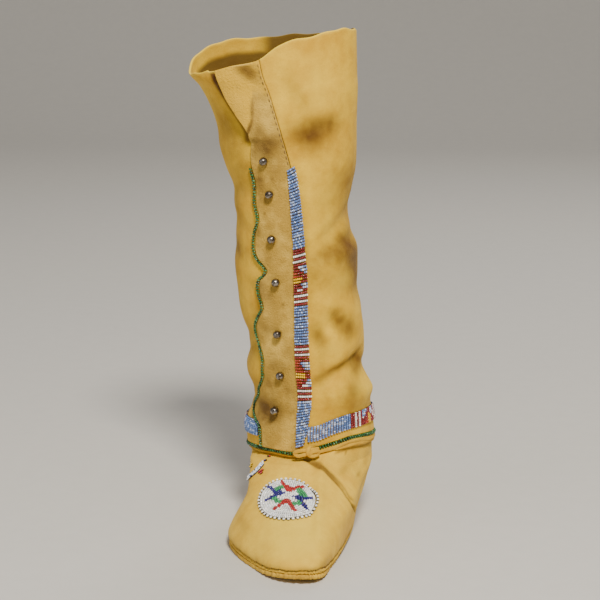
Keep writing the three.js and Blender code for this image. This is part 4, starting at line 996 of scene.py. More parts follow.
# Flap
flapSkin = dict(
    columns=108, rows=300, sideBorder=0.03, endBorder=0.003, blotch=1.5, nap=2.2, strength=0.9,
    # the stain colour paints stains and painted shade
    light=(0.78, 0.505, 0.085), deep=(0.5, 0.3, 0.042), stainshade=(0.1, 0.04, 0.005), skin=(0.78, 0.46, 0.03),
    # turn of the slit between the suede and the smooth side, by height
    slit=dict(height=[322, 330, 337.5, 346, 354.5, 362.5, 370, 380, 392, 410],
              turn=[-0.12, -0.085, -0.072, -0.061, -0.054, -0.049, -0.042, -0.03, -0.012, 0.04]),
    creases=[
        (-0.056, 393, -0.018, 379, 4.5, 2.6, 0.2), (-0.052, 362, -0.066, 344, 1.6, 0.8, 1.0),
        (-0.1, 228, -0.06, 222, 5.0, 1.4, 0.5), (-0.1, 150, -0.06, 142, 5.0, 1.4, 0.5),
        (-0.13, 106, -0.075, 101, 7.0, 2.4, 0.4), (-0.09, 200, -0.05, 190, 7.0, 0.6, 0.2),
        (-0.1, 268, -0.06, 262, 5.5, 1.6, 0.5), (-0.07, 300, -0.04, 290, 5.0, 1.2, 0.4),
        (-0.1, 180, -0.06, 172, 5.0, 1.5, 0.5), (-0.1, 130, -0.06, 124, 6.0, 1.1, 0.4),
        (-0.07, 248, -0.04, 238, 6.0, 0.8, 0.3), (-0.08, 325, -0.03, 318, 6.0, 0.9, 0.5),
    ],
    stainsAndShade=[
        (-0.06, 321, -0.034, 327, 7.5, 1.9), (-0.034, 327, -0.016, 333, 5.0, 0.8),
        (-0.055, 338, -0.04, 340, 5.0, 0.6), (-0.067, 301, -0.066, 296, 3.5, 0.8),
        (-0.06, 286, -0.052, 280, 5.0, 0.4), (-0.04, 318, -0.02, 300, 6.0, 0.3),
        (-0.14, 96, -0.1, 107, 9.0, 2.3), (-0.1, 106, -0.08, 101, 6.0, 1.0),
        (-0.1, 213, -0.08, 207, 5.5, 1.5), (-0.096, 204, -0.086, 198, 4.0, 0.8),
        (-0.055, 135, -0.05, 128, 5.0, 0.3), (-0.055, 172, -0.05, 166, 4.0, 0.25),
        (-0.05, 214, -0.04, 208, 4.0, 0.22), (-0.05, 250, -0.045, 244, 4.0, 0.2),
        (-0.054, 393, -0.02, 379, 5.0, 1.7), (-0.1, 372, -0.08, 340, 7.0, 0.3),
        (-0.049, 364, -0.061, 346, 0.9, 1.6), (-0.061, 346, -0.08, 332, 1.0, 1.8),
        (-0.062, 336, -0.045, 333, 7.0, 0.45), (-0.07, 205, -0.06, 198, 5.0, 0.5),
        (-0.075, 150, -0.07, 138, 5.0, 0.5), (-0.04, 160, -0.03, 152, 5.0, 0.3),
        (-0.045, 126, -0.035, 118, 4.0, 0.35), (-0.1, 98, -0.085, 92, 6.0, 0.4),
        (-0.075, 301, -0.07, 285, 4.0, 0.35), (-0.03, 92, -0.03, 91.6, 0.9, 1.6),
        (-0.026, 86, -0.026, 85.6, 0.9, 1.6), (-0.056, 271, -0.056, 270.5, 0.9, 1.4),
        (-0.09, 262, -0.08, 250, 5.0, 0.35), (-0.085, 178, -0.075, 168, 6.0, 0.45),
        (-0.05, 146, -0.04, 140, 4.0, 0.3), (-0.095, 132, -0.085, 122, 6.0, 0.5),
        (-0.06, 236, -0.055, 230, 4.0, 0.3), (-0.045, 108, -0.03, 104, 5.0, 0.3),
        (-0.068, 373, -0.068, 372.6, 0.9, 1.2), (-0.028, 196, -0.028, 195, 1.2, 0.8),
        (-0.035, 300, -0.034, 298, 1.6, 0.6),
    ],
    palesAndHighlights=[
        (-0.08, 375, -0.06, 352, 8.0, 0.35), (-0.035, 352, -0.02, 335, 4.0, 0.3),
        (-0.08, 240, -0.07, 150, 5.0, 0.25), (-0.05, 90, -0.02, 88, 8.0, 0.2),
    ],
)


# One beyond the slit line and above it, where the hide shows its smooth side, and nothing on
# the suede side; the line is read at its height.
def skinSide(turn, z):
    side = (turn - readTable(flapSkin["slit"], "height", z, "turn")) * skinLength
    return np.maximum(1 - smooth((side + 0.45) / 0.9), smooth((z - 364) / 12)) * smooth((z - 322) / 6)


# The flap lies on the wrap from the free edge to the seam; its free edge stands up a little
# above the edging's top, where nothing holds it down.
def makeFlap():
    def place(u, v, out):
        edge, seam = onLine(edgeTurn, v), onLine(seamTurn, v)
        z0 = mix(hemAt(seam), rimAt(seam), v)
        turn = mix(edge, seam - turnLength(0.15, z0), u)
        z = mix(hemAt(turn), rimAt(turn), v)
        share = np.clip((turn - edge) / (seam - edge), 0, 1)
        soft = creaseField(turn, z, flapSkin["creases"]) * smooth((1 - share) / 0.15)
        soft = np.maximum(soft, -0.25) + legRelief(turn, z) * smooth((0.92 - share) / 0.1)
        stand = 3.6 * smooth((z - 327) / 6) * (1 - 0.55 * smooth((z - 345) / 40)) * (1 - share) ** 1.5
        step = 1.4 * skinSide(turn, z) * smooth((z - 328) / 6) * (1 - smooth((z - 358) / 14))
        return legPoint(turn, z, out + flapOut(turn, z) + soft + stand + step)

    def onFlap(field):
        def values(u, v):
            turn = mix(onLine(edgeTurn, v), onLine(seamTurn, v), u)
            return field(turn, mix(hemAt(turn), rimAt(turn), v))
        return values

    # stains, dark specks and painted shade under folds, along the slit and beside the buttons
    def grimeShadeAt(turn, z):
        return softened(1.3 * strokeField(turn, z, flapSkin["stainsAndShade"]))

    # paler in the strokes, as wear and painted highlight, and along the cut edge of the rim
    def paleHighlightAt(turn, z):
        rim = 0.9 * smooth((z - rimAt(turn) + 1.6) / 1.6)
        return np.clip(strokeField(turn, z, flapSkin["palesAndHighlights"]) + rim, 0, 1)

    sideBorder, endBorder = flapSkin["sideBorder"], flapSkin["endBorder"]
    us, vs = edgeSteps(flapSkin["columns"], sideBorder), edgeSteps(flapSkin["rows"], endBorder)
    fields = {"grimeShade": onFlap(grimeShadeAt), "skinSide": onFlap(skinSide), "paleAndHighlight": onFlap(paleHighlightAt)}
    flap = shellMesh("buttonFlap", place, us, vs, boot["hideWall"], False, sideBorder, endBorder, fields)
    setPiece(flap, hideMaterial("flapHide", flapSkin), "flap_hide", "button_flap")


makeFlap()
report("flap")


# Foot
footSkin = dict(
    border=0.002,
    # the stain colour paints stains and painted shade; the inner face's colour is painted shade
    light=(0.9, 0.58, 0.05), deep=(0.72, 0.41, 0.025), stainshade=(0.13, 0.05, 0.004), inside=(0.46, 0.28, 0.05),
    # turn and level of the fold where the quarter lies over the vamp: its edge and the line
    # beside it
    foldEdge=[(-0.012, 0.715), (0.018, 0.68), (0.044, 0.628), (0.072, 0.593), (0.1, 0.542), (0.127, 0.482),
              (0.152, 0.415), (0.189, 0.307), (0.255, 0.13)],
    foldBeside=[(0.005, 0.712), (0.031, 0.685), (0.058, 0.63), (0.085, 0.59), (0.109, 0.542), (0.137, 0.475),
                (0.164, 0.4), (0.207, 0.28)],
    # soft dents of the foot: turn, level, spread round, spread up, depth
    dents=[
        (0.19, 0.55, 0.035, 0.06, -1.6), (0.235, 0.4, 0.03, 0.09, -2.2), (0.15, 0.62, 0.04, 0.05, 1.0),
        (-0.15, 0.35, 0.06, 0.06, -0.8), (-0.27, 0.5, 0.04, 0.1, -2.4), (-0.36, 0.42, 0.05, 0.09, -2.4),
        (0.34, 0.45, 0.05, 0.1, -2.4), (0.42, 0.5, 0.04, 0.08, -1.6), (0.02, 0.16, 0.05, 0.05, -0.7),
        (0.07, 0.3, 0.05, 0.07, 0.5), (-0.06, 0.2, 0.05, 0.05, 0.5), (0.5, 0.5, 0.05, 0.12, -1.4),
    ],
    # dark spots, dirt and painted shade: turn, level, spread round, spread up, strength
    spots=[
        (0.12, 0.6, 0.02, 0.03, 0.3), (0.2, 0.5, 0.03, 0.05, 0.3), (0.225, 0.38, 0.02, 0.07, 0.4),
        (0.03, 0.06, 0.03, 0.02, 0.5), (-0.17, 0.2, 0.04, 0.05, 0.2), (0.08, 0.1, 0.03, 0.03, 0.3),
        (-0.3, 0.3, 0.08, 0.1, 0.35), (0.35, 0.3, 0.08, 0.1, 0.35), (0.5, 0.3, 0.1, 0.12, 0.35),
        (0.0, 0.5, 0.05, 0.03, 0.12), (0.115, 0.693, 0.003, 0.004, 1.2), (0.14, 0.645, 0.03, 0.045, 0.3),
        (0.21, 0.62, 0.02, 0.05, 0.3), (0.182, 0.535, 0.01, 0.02, 0.5),
    ],
)


# Height of the line where the sole is sewn on, in levels: a little higher at the big toe.
def sewnLevel(turn):
    return 0.034 + 0.022 * bell(wrapTurn(turn - 0.065), 0.04)


# How much of the roll of hide under the thong there is: all of it on the inner side, and none
# elsewhere.
def rollSpan(turn):
    return smooth((wrapTurn(turn) - 0.07) / 0.02) * smooth((0.27 - wrapTurn(turn)) / 0.04)


# Small ups and downs of the sewn line, the sum of three waves.
def wander(turn):
    return 0.004 * wave(turn, 19, 1) + 0.003 * wave(turn, 43) + 0.002 * wave(turn, 91, 2)


# Sum of soft spots: the strength times a bell in turn and a bell in level.
def spotSum(spots, turn, level):
    total = 0
    for spotTurn, spotLevel, turnSpread, upSpread, strength in spots:
        across = bell(wrapTurn(turn - spotTurn), turnSpread)
        total = total + strength * across * bell(level - spotLevel, upSpread)
    return total


# How far the front is puckered: all of it at the toe and a share elsewhere.
def toeShare(turn, least):
    return least + (1 - least) * bell(wrapTurn(turn - 0.02), 0.13)


# The foot: dents, a trough on either line of the fold with a ridge between them, and a
# pinched line where the sole is sewn on, puckered by its stitches.
def makeFoot():
    edge, beside = (smoothLine(footPoint(*np.array(line).T), 160)
                    for line in (footSkin["foldEdge"], footSkin["foldBeside"]))
    between = (edge + beside) / 2

    # distances to both lines of the fold and between them, and how much of each line there is
    def foldAt(u, v):
        points = footPoint(u, v)
        far, share = lineDistance(points, edge)
        farBeside, shareBeside = lineDistance(points, beside)
        farBetween, _ = lineDistance(points, between)
        fade = smooth(share / 0.05) * smooth((1 - share) / 0.12)
        fadeBeside = smooth(shareBeside / 0.2) * smooth((1 - shareBeside) / 0.25)
        return far, farBeside, farBetween, fade, fadeBeside

    def place(u, v, out):
        far, farBeside, farBetween, fade, fadeBeside = foldAt(u, v)
        relief = -2.3 * fade * bell(far, 1.0) - 1.5 * fadeBeside * bell(farBeside, 1.3)
        relief += 1.3 * fadeBeside * bell(farBetween, 1.3)
        relief += rollSpan(u) * (1.5 * bell(v - 0.724, 0.009) - 0.9 * bell(v - 0.704, 0.009))
        apart = v - sewnLevel(u) - wander(u)
        relief += spotSum(footSkin["dents"], u, v) - 1.2 * bell(apart, 0.011)
        pucker = np.sin(2 * np.pi * u * 118 + 3 * wave(u, 5)) * (0.6 + 0.4 * wave(u, 7))
        relief += 0.9 * toeShare(u, 0.3) * pucker * bell(apart + 0.012, 0.024)
        relief += 0.5 * bell(apart + 0.024, 0.012)
        return footOut(u, v, out + relief)

    # stains and painted shade: along the fold's lines, under the roll, in the sewn line and where the foot
    # goes in under the leg, with the dark spots
    def grimeShadeAt(u, v):
        far, farBeside, farBetween, fade, fadeBeside = foldAt(u, v)
        apart = v - sewnLevel(u) - wander(u)
        high = smooth((v - 0.5) / 0.1)
        grimeShade = 1.9 * fade * bell(far, 0.95 + 0.9 * high) + 1.0 * fadeBeside * bell(farBeside, 1.3)
        grimeShade += 0.9 * rollSpan(u) * bell(v - 0.706, 0.007)
        grimeShade += 1.0 * fadeBeside * high * bell(farBetween, 1.6)
        grimeShade += 0.75 * bell(apart, 0.009) + 0.3 * bell(apart - 0.02, 0.03)
        return softened(1.2 * (grimeShade + spotSum(footSkin["spots"], u, v)) + 0.8 * smooth((v - 0.72) / 0.03))

    # paler on top of the toe, as wear and painted highlight
    def paleHighlightAt(u, v):
        return np.clip(0.5 * bell(wrapTurn(u), 0.12) * bell(v - 0.3, 0.2), 0, 1)

    # fine steps round the front and by both borders, coarse ones round the heel
    border = footSkin["border"]
    us = np.concatenate([np.linspace(-0.24, 0.28, 298), np.linspace(0.28, 0.76, 80)[1:-1]])
    vs = np.concatenate([edgeSteps(4, border)[:5], np.linspace(2 * border, 0.12, 27),
                         np.linspace(0.12, 0.74, 86)[1:], np.linspace(0.74, 1 - 2 * border, 8)[1:],
                         1 - border * np.array([1.0, 0.5, 0.2, 0.0])])
    fields = {"grimeShade": grimeShadeAt, "paleAndHighlight": paleHighlightAt}
    foot = shellMesh("footUpper", place, us, vs, boot["hideWall"], True, 0, border, fields)
    setPiece(foot, hideMaterial("footHide", footSkin), "foot_hide", "foot_upper")


makeFoot()
report("foot")


# Sole
soleSkin = dict(
    light=(0.8, 0.51, 0.05), deep=(0.5, 0.28, 0.03), stainshade=(0.1, 0.04, 0.005),
    stations=220, overhang=1.15, pucker=1.9, drawnIn=2.4,
    # the edge's profile, from the middle of the underside round to the top: inset and height
    profile=[(14.0, 0.0), (1.6, 0.0), (0.7, 0.25), (0.15, 0.9), (0.0, 1.8), (0.0, 2.8), (0.3, 3.5),
             (0.9, 3.9), (1.6, 4.0), (14.0, 4.0)],
)


# The sole: its outline moved in and up by each row of the edge's profile, a little puckered in
# front and drawn in under the foot's inner side, closed below and above by strips across.
def makeSole():
    stations = soleSkin["stations"]
    count = 2 * stations
    turn = np.linspace(0, 1, count, endpoint=False)
    ring = ringPoint(turn, np.zeros_like(turn))[:, :2]
    away = ring / np.linalg.norm(ring, axis=1, keepdims=True)
    pucker = soleSkin["pucker"] * (0.35 * wave(turn, 61) + 0.3 * wave(turn, 97, 1.3)) * toeShare(turn, 0.25)
    hidden = soleSkin["drawnIn"] * smooth((turn - 0.09) / 0.05) * smooth((0.36 - turn) / 0.06)
    points = []
    for inset, up in soleSkin["profile"]:
        grown = ring + away * (soleSkin["overhang"] - inset + pucker * (inset < 2) - hidden)[:, None]
        points.append(np.column_stack([grown, springAt(grown[:, 1]) + up]))
    points = np.concatenate(points)
    i = np.arange(0, stations)
    strip = np.stack([i, (count - i) % count, (count - i - 1) % count, i + 1], -1)
    above = strip[:, ::-1] + (len(soleSkin["profile"]) - 1) * count
    faces = np.concatenate([gridQuads(len(soleSkin["profile"]), count, True), strip, above])
    # The faces at toe and heel name a corner twice and become triangles.
    mesh = bpy.data.meshes.new("hideSole")
    mesh.from_pydata((points * 0.001).tolist(), [], [list(dict.fromkeys(face)) for face in faces.tolist()])
    mesh.validate()
    mesh.polygons.foreach_set("use_smooth", np.ones(len(mesh.polygons), bool))
    sole = bpy.data.objects.new("hideSole", mesh)
    collection.objects.link(sole)
    setPiece(sole, hideMaterial("soleHide", soleSkin), "sole_hide", "sole")


makeSole()
report("sole")


# Beads
# B blue, P pale blue, R dark red, W white, Y yellow, O orange red, G green, D dark green,
# S light green, N navy, C red, L leaf green, V cool white, K black
beadColours = dict(
    B=(0.14, 0.25, 0.58), P=(0.5, 0.62, 0.92), R=(0.26, 0.012, 0.016), W=(1.0, 0.98, 0.94),
    Y=(0.86, 0.52, 0.01), O=(0.45, 0.05, 0.02), G=(0.02, 0.13, 0.025), D=(0.008, 0.045, 0.014),
    S=(0.1, 0.27, 0.09), N=(0.025, 0.02, 0.21), C=(0.5, 0.03, 0.03), L=(0.06, 0.38, 0.14),
    V=(0.96, 0.97, 1.0), K=(0.02, 0.015, 0.015),
)


# The colours of a run of letters.
def colourOf(letters):
    return np.array([beadColours[letter] for letter in letters])


# Letters as an array, three in ten of the blue ones pale by chance.
def withPale(letters):
    letters = np.array(letters)
    letters[(letters == "B") & (rng.random(len(letters)) < 0.3)] = "P"
    return letters


# Two blocks of the lane's pattern, a row of letters for each row of beads.
laneBlocks = [
    ["RRRRRRRR", "RRRRRRRR", "WWWWWWWW", "RRRRRRRR", "WWWWWWWW", "RRRRRRRR", "RRRWBPBB", "RRRRBWPB",
     "OORRRRBP", "OOORRRRR", "YYYYYRRR", "YYYYRRRR", "RRRRBPWB", "RRRRRBPB", "RRWWWRRR", "RRRRRRRR",
     "WWWWWWWW", "RRRRRRRR", "WWWWVVVV", "RRRRRRRR"],
    ["RRRRRRRR", "WWWWWWWW", "RRRRRRRR", "WWWWWWWW", "RRRRRRRR", "OOORRRRR", "OORBPBWB", "OORRBPWP",
     "OOORRBPB", "OOOORRRR", "YYYYYRRR", "YYYYYORR", "OOORRRBP", "OOORRBPW", "RRRWWWBB", "RRRRRRRR",
     "WWWWWWWW", "RRRRRRRR", "WWWWWWWW", "RRRRRRRR"],
]
lane = dict(
    rowPitch=2.36, perRow=8, radius=0.98, fill=0.93, top=308.6, overHem=3.5, starts=(28, 62), bow=0.5,
    # rise of a row from its outer to its inner end, by height
    tilt=dict(height=[70, 92, 105, 118, 135, 155, 190, 225, 270, 310],
              rise=[2.0, 2.6, 2.4, 0.4, -0.4, 0.6, 1.2, 2.4, 3.0, 3.8]),
)


# The lane: rows across it at an even pitch down the seam, the beads of a row side by side,
# raised in the middle of the row as the thread bows.
def makeLane():
    perRow = lane["perRow"]
    rows = int((lane["top"] - boot["hemHeight"] - lane["overHem"]) / lane["rowPitch"])
    row = np.repeat(np.arange(rows), perRow)
    across = np.tile((np.arange(perRow) + 0.5) / perRow, rows)
    pattern = ["B" * perRow] * rows
    for start, block in zip(lane["starts"], laneBlocks):
        pattern[start:start + len(block)] = block
    letters = withPale(list("".join(pattern)))
    z = lane["top"] - (row + 0.5) * lane["rowPitch"]
    z = z + readTable(lane["tilt"], "height", z, "rise") * (across - 0.5) + rng.normal(0, 0.1, rows)[row]
    half = boot["laneWidth"] * frontLine(z, "lane") / perRow
    turn = mix(laneTurn(z, -1), laneTurn(z, 1), across) + turnLength(rng.normal(0, 0.16, rows)[row], z)
    out = frontOut(turn, z) + 1.1 + lane["bow"] * np.sin(np.pi * across) + rng.normal(0, 0.06, len(z))
    slope = readTable(lane["tilt"], "height", z, "rise") / np.maximum(half * 2 * perRow, 1)
    side = legPoint(turn + 0.003, z + 0.96 * slope, out) - legPoint(turn - 0.003, z - 0.96 * slope, out)
    beads = beadMesh("beadStrip", legPoint(turn, z, out), side, legOutward(turn, z), lane["radius"],
                     half * lane["fill"], colourOf(letters))
    setPiece(beads, laneMaterial, "lane_beads", "bead_strip")


band = dict(
    rowPitch=2.35, perRow=9, radius=1.06, fill=0.94, height=13.2, firstBlock=16, period=36, bow=0.5,
    round=332.0,  # the way round the ankle that its rows are counted on
    fromLane=0.9, fromEdge=4.94,  # gaps to the lane and to the flap's edge
)


# The band: rows up and down it at an even pitch round the ankle, each the height of the band.
# The lane's first block comes back after every period.
def makeBand():
    perRow, block = band["perRow"], laneBlocks[0]
    level = boot["hemHeight"] * 1.2
    start = float(laneTurn(level, 1)) + float(turnLength(band["fromLane"], level))
    end = 1 + float(edgeTurn(bandAt(-0.16))) - float(turnLength(band["fromEdge"], level))
    rows = int((end - start) * band["round"] / band["rowPitch"])
    row = np.repeat(np.arange(rows), perRow)
    up = np.tile((np.arange(perRow) + 0.5) / perRow, rows)
    letters = []
    for index in range(rows):
        place = (index - band["firstBlock"]) % band["period"]
        inBlock = place < len(block) and index >= band["firstBlock"]
        letters.extend(block[place][0] + block[place] if inBlock else "B" * perRow)
    letters = withPale(letters)
    turn = start + (row + 0.5) / rows * (end - start) + 0.0012 * (up - 0.5)
    z = bandAt(turn) + band["height"] * (up - 0.5)
    out = 0.95 + band["bow"] * np.sin(np.pi * up) + rng.normal(0, 0.05, len(z))
    upward = np.tile([0.0, 0.0, 1.0], (len(z), 1))
    beads = beadMesh("ankleBand", legPoint(turn, z, out), upward, legOutward(turn, z), band["radius"],
                     band["height"] / perRow * band["fill"] / 2, colourOf(letters))
    setPiece(beads, laneMaterial, "band_beads", "ankle_band")


# Edging: at every stitch along an edge four beads sit round the edge on a part of a circle,
# from one angle off the normal to another, and slant a little along the edge.
def edgingBeads(name, node, line, normal, aside, start, stop):
    run = np.concatenate([[0], np.cumsum(np.linalg.norm(np.diff(line, axis=0), axis=1))])
    count, perStitch = int(run[-1] / edging["pitch"]), 4
    at = np.linspace(0, run[-1], count)
    line, normal, aside = (np.stack([np.interp(at, run, values[:, k]) for k in range(3)], -1)
                           for values in (line, normal, aside))
    along = np.gradient(line, axis=0)
    along /= np.linalg.norm(along, axis=1, keepdims=True)
    line, normal, aside, along = (np.repeat(values, perStitch, 0) for values in (line, normal, aside, along))
    swing = np.tile(np.linspace(start, stop, perStitch), count) + rng.normal(0, 0.08, count * perStitch)
    sine, cosine = np.sin(swing)[:, None], np.cos(swing)[:, None]
    radial = normal * cosine + aside * sine
    slant = along * 0.35 * sine
    letters = rng.choice(list("GGGGGDDS"), len(line))
    radius = edging["pitch"] * rng.uniform(0.31, 0.4, len(line))
    beads = beadMesh(name, line + radial * 0.95 + slant * 0.8, aside * cosine - normal * sine + slant, radial,
                     radius, 0.66, colourOf(letters))
    setPiece(beads, edgingMaterial, "edging_beads", node)


# The hem's edging, on a line just under the hem all the way round.
def makeHemEdging():
    turn = np.linspace(0, 1, 500)
    z = hemAt(turn) - edging["radius"] - 0.1
    downward = np.tile([0.0, 0.0, -1.0], (len(turn), 1))
    edgingBeads("hemEdging", "hem_edging", legPoint(turn, z, -edging["sink"]), legOutward(turn, z), downward,
                -1.0, 1.9)


# The flap's edging, on a line just off its free edge from the hem to the edging's top.
def makeFlapEdging():
    v = np.linspace(0.004, boot["edgingTop"], 400)
    turn = onLine(edgeTurn, v)
    z = mix(hemAt(turn), rimAt(turn), v)
    keep = z < boot["legHeight"] * boot["edgingTop"]
    turn, z = turn[keep], z[keep]
    normal = legOutward(turn, z)
    side = np.cross(np.array([0.0, 0.0, 1.0]), normal)
    line = legPoint(turn, z, edging["radius"] + 0.3 + legRelief(turn, z)) - side * (edging["radius"] + 0.2)
    edgingBeads("flapEdging", "flap_edging", line, normal, -side, -0.9, 1.6)


rosette = dict(
    x=-3.5, reach=77.0, half=25.0, rings=11, radius=1.18, spacing=1.62, length=0.74,
    # the border's beads: how many stand out, then size, length, lift and place of these and of
    # the sunk ones between them
    picots=42, picot=dict(radius=(1.15, 0.8), half=(1.0, 0.6), lift=(1.15, 0.55), far=(1.0, 0.965)),
    # the figures on the white ground, from the disc's middle in shares of its half size: the
    # letter, the line's half width at its start and end, and the side and up of both ends
    lines=[
        ("C", 0.05, 0.11, (-0.24, 0.84), (0.02, 0.44)), ("C", 0.11, 0.05, (0.02, 0.44), (0.45, 0.66)),
        ("C", 0.06, 0.06, (-0.06, 0.56), (0.1, 0.52)),
        ("C", 0.1, 0.06, (0.0, -0.08), (-0.38, -0.52)), ("C", 0.1, 0.06, (0.0, -0.08), (0.28, -0.6)),
        ("N", 0.06, 0.11, (-0.68, 0.58), (-0.28, 0.3)), ("N", 0.06, 0.1, (-0.71, -0.06), (-0.28, 0.22)),
        ("N", 0.1, 0.03, (-0.4, 0.26), (-0.14, 0.27)),
        ("N", 0.06, 0.1, (0.76, 0.2), (0.36, 0.08)), ("N", 0.06, 0.1, (0.65, -0.38), (0.4, -0.04)),
        ("N", 0.08, 0.04, (0.42, 0.04), (0.2, 0.1)),
        ("L", 0.1, 0.1, (-0.34, 0.46), (-0.22, 0.56)), ("L", 0.1, 0.1, (0.36, 0.44), (0.52, 0.24)),
        ("L", 0.1, 0.1, (-0.4, -0.02), (-0.26, -0.14)), ("L", 0.1, 0.1, (0.26, -0.26), (0.38, -0.18)),
    ],
)


# Place on the vamp of a point of the flat disc: it is turned a little, and its outer side is
# drawn in and up the foot, because the foot falls away steeply there.
def drapedPlace(x, y):
    away = np.clip((-x - 5) / 20, 0, 1.1) ** 2
    rise = 0.26 * np.clip(-x, 0, None) - 0.07 * np.clip(x, 0, None) + 3.5 * away
    return vampPlace(rosette["x"] + x + 1.6 * away, rosette["reach"] - halfSole + 0.93 * y + rise)


# The letters of the disc's beads: white, with a figure's letter where its line passes, and four
# in ten of the white ones a little warmer by chance.
def discLetters(x, y):
    letters = np.full(len(x), "V")
    for letter, halfStart, halfStop, start, stop in rosette["lines"]:
        (x0, y0), (dx, dy) = np.array([start, np.subtract(stop, start)]) * rosette["half"]
        share = np.clip(((x - x0) * dx + (y - y0) * dy) / (dx * dx + dy * dy), 0, 1)
        apart = np.hypot(x - x0 - share * dx, y - y0 - share * dy)
        letters[apart < mix(halfStart, halfStop, share) * rosette["half"]] = letter
    letters[(letters == "V") & (rng.random(len(x)) < 0.4)] = "W"
    return letters


# The disc: rings of beads threaded round it, a little domed, and a border where white beads
# stand out with dark ones sunk between them.
def makeRosette():
    disc = rosette["half"]
    far = disc * (np.arange(rosette["rings"]) + 0.5) / (rosette["rings"] + 0.7)
    counts = np.maximum(5, (2 * np.pi * far / rosette["spacing"]).astype(int))
    ring = np.repeat(np.arange(rosette["rings"]), counts)
    order = np.arange(len(ring)) - np.repeat(np.cumsum(counts) - counts, counts)
    angle = 2 * np.pi * order / counts[ring] + 2.4 * ring
    x, y = far[ring] * np.sin(angle), far[ring] * np.cos(angle)
    letters = discLetters(x, y)
    lift = 1.1 + 0.35 * np.cos(np.hypot(x, y) / disc * np.pi / 2) + rng.normal(0, 0.06, len(x))
    rim = np.pi * (np.arange(2 * rosette["picots"]) + 0.5) / rosette["picots"]
    outside = np.arange(len(rim)) % 2 == 0
    picot = {key: np.where(outside, *pair) for key, pair in rosette["picot"].items()}
    x = np.append(x, disc * picot["far"] * np.sin(rim))
    y = np.append(y, disc * picot["far"] * np.cos(rim))
    angle = np.append(angle, rim)
    radius = np.append(np.full(len(ring), rosette["radius"]), picot["radius"])
    half = np.append(np.full(len(ring), rosette["length"]), picot["half"])
    lift = np.append(lift, picot["lift"])
    letters = np.append(letters, np.where(outside, "W", "K"))
    turn, level = drapedPlace(x, y)
    stepTurn, stepLevel = drapedPlace(x + 0.5 * np.cos(angle), y - 0.5 * np.sin(angle))
    normal = surfaceNormal(footPoint, turn, level)
    axis = footPoint(stepTurn, stepLevel) - footPoint(turn, level)
    centre = footPoint(turn, level) + normal * lift[:, None]
    beads = beadMesh("toeRosette", centre, axis, normal, radius, half, colourOf(letters))
    setPiece(beads, rosetteMaterial, "rosette_beads", "toe_rosette")


motif = dict(
    width=4.6, perRow=3, radius=0.95, half=0.72, lift=1.15, strayLift=0.9,
    line=dict(share=[0, 1 / 3, 2 / 3, 1], turn=[-0.188, -0.144, -0.118, -0.1],
              level=[0.478, 0.552, 0.6, 0.638]),
    rows=["VPV", "WVV", "VBV", "PVN", "VVW", "BVP", "VVV", "KVP", "PVV", "VBV", "VPV", "WVN", "VVV", "VPB",
          "PVV", "VVW"],
    # single beads about it: turn, level, letter
    strays=[(-0.101, 0.668, "N"), (-0.099, 0.673, "K"), (-0.104, 0.704, "K"), (-0.1, 0.708, "C"),
            (-0.119, 0.573, "C"), (-0.114, 0.58, "C"), (-0.109, 0.587, "C"), (-0.104, 0.594, "C"),
            (-0.112, 0.571, "C"), (-0.107, 0.578, "C"), (-0.158, 0.6, "Y"), (-0.154, 0.606, "Y"),
            (-0.162, 0.59, "G"), (-0.166, 0.58, "Y"), (-0.158, 0.588, "Y")],
)


# The short lane on the foot's outer side: rows across a line on the foot, and a few single
# beads beside it.
def makeMotif():
    rows, perRow = len(motif["rows"]), motif["perRow"]
    along = np.repeat((np.arange(rows) + 0.5) / rows, perRow)
    across = np.tile((np.arange(perRow) + 0.5) / perRow - 0.5, rows)
    turn, level = (readTable(motif["line"], "share", along, column) for column in ("turn", "level"))
    normal = surfaceNormal(footPoint, turn, level)
    side = np.cross(footPoint(turn + 0.006, level + 0.012) - footPoint(turn, level), normal)
    side /= np.linalg.norm(side, axis=1, keepdims=True)
    centre = footPoint(turn, level) + side * (across * motif["width"])[:, None] + normal * motif["lift"]
    strayTurn, strayLevel = (np.array([stray[k] for stray in motif["strays"]]) for k in (0, 1))
    strayNormal = surfaceNormal(footPoint, strayTurn, strayLevel)
    strayCentre = footPoint(strayTurn, strayLevel) + strayNormal * motif["strayLift"]
    strayAxis = footPoint(strayTurn + 0.006, strayLevel) - footPoint(strayTurn, strayLevel)
    letters = list("".join(motif["rows"])) + [stray[2] for stray in motif["strays"]]
    beads = beadMesh("sideMotif", np.concatenate([centre, strayCentre]), np.concatenate([side, strayAxis]),
                     np.concatenate([normal, strayNormal]), motif["radius"], motif["half"], colourOf(letters))
    setPiece(beads, rosetteMaterial, "motif_beads", "side_motif")


laneMaterial = beadMaterial("laneBeads")
edgingMaterial = beadMaterial("edgingBeads", 0.2, 0.25)
rosetteMaterial = beadMaterial("rosetteBeads", 0.2, 0.35)
makeLane()
makeBand()
makeHemEdging()
makeFlapEdging()
makeRosette()
makeMotif()
report("beads")


# Buttons
buttons = dict(
    height=[0.7505, 0.686, 0.598, 0.513, 0.408, 0.325, 0.25],
    side=[-0.282, -0.234, -0.219, -0.186, -0.172, -0.15, -0.194],
    diameter=7.0,
    # radius and height over the seat, in shares of the ball's radius
    profile=[(0.0, -0.5), (0.26, -0.5), (0.26, 0.0), (0.5, 0.0), (0.78, 0.06), (0.93, 0.3), (0.99, 0.62),
             (1.0, 0.75), (0.98, 0.92), (0.9, 1.22), (0.74, 1.48), (0.5, 1.67), (0.25, 1.76), (0.12, 1.79),
             (0.0, 1.8)],
    sides=28, seat=0.35, bright=(0.33, 0.3, 0.27, 1), tarnished=(0.07, 0.052, 0.038, 1),
)


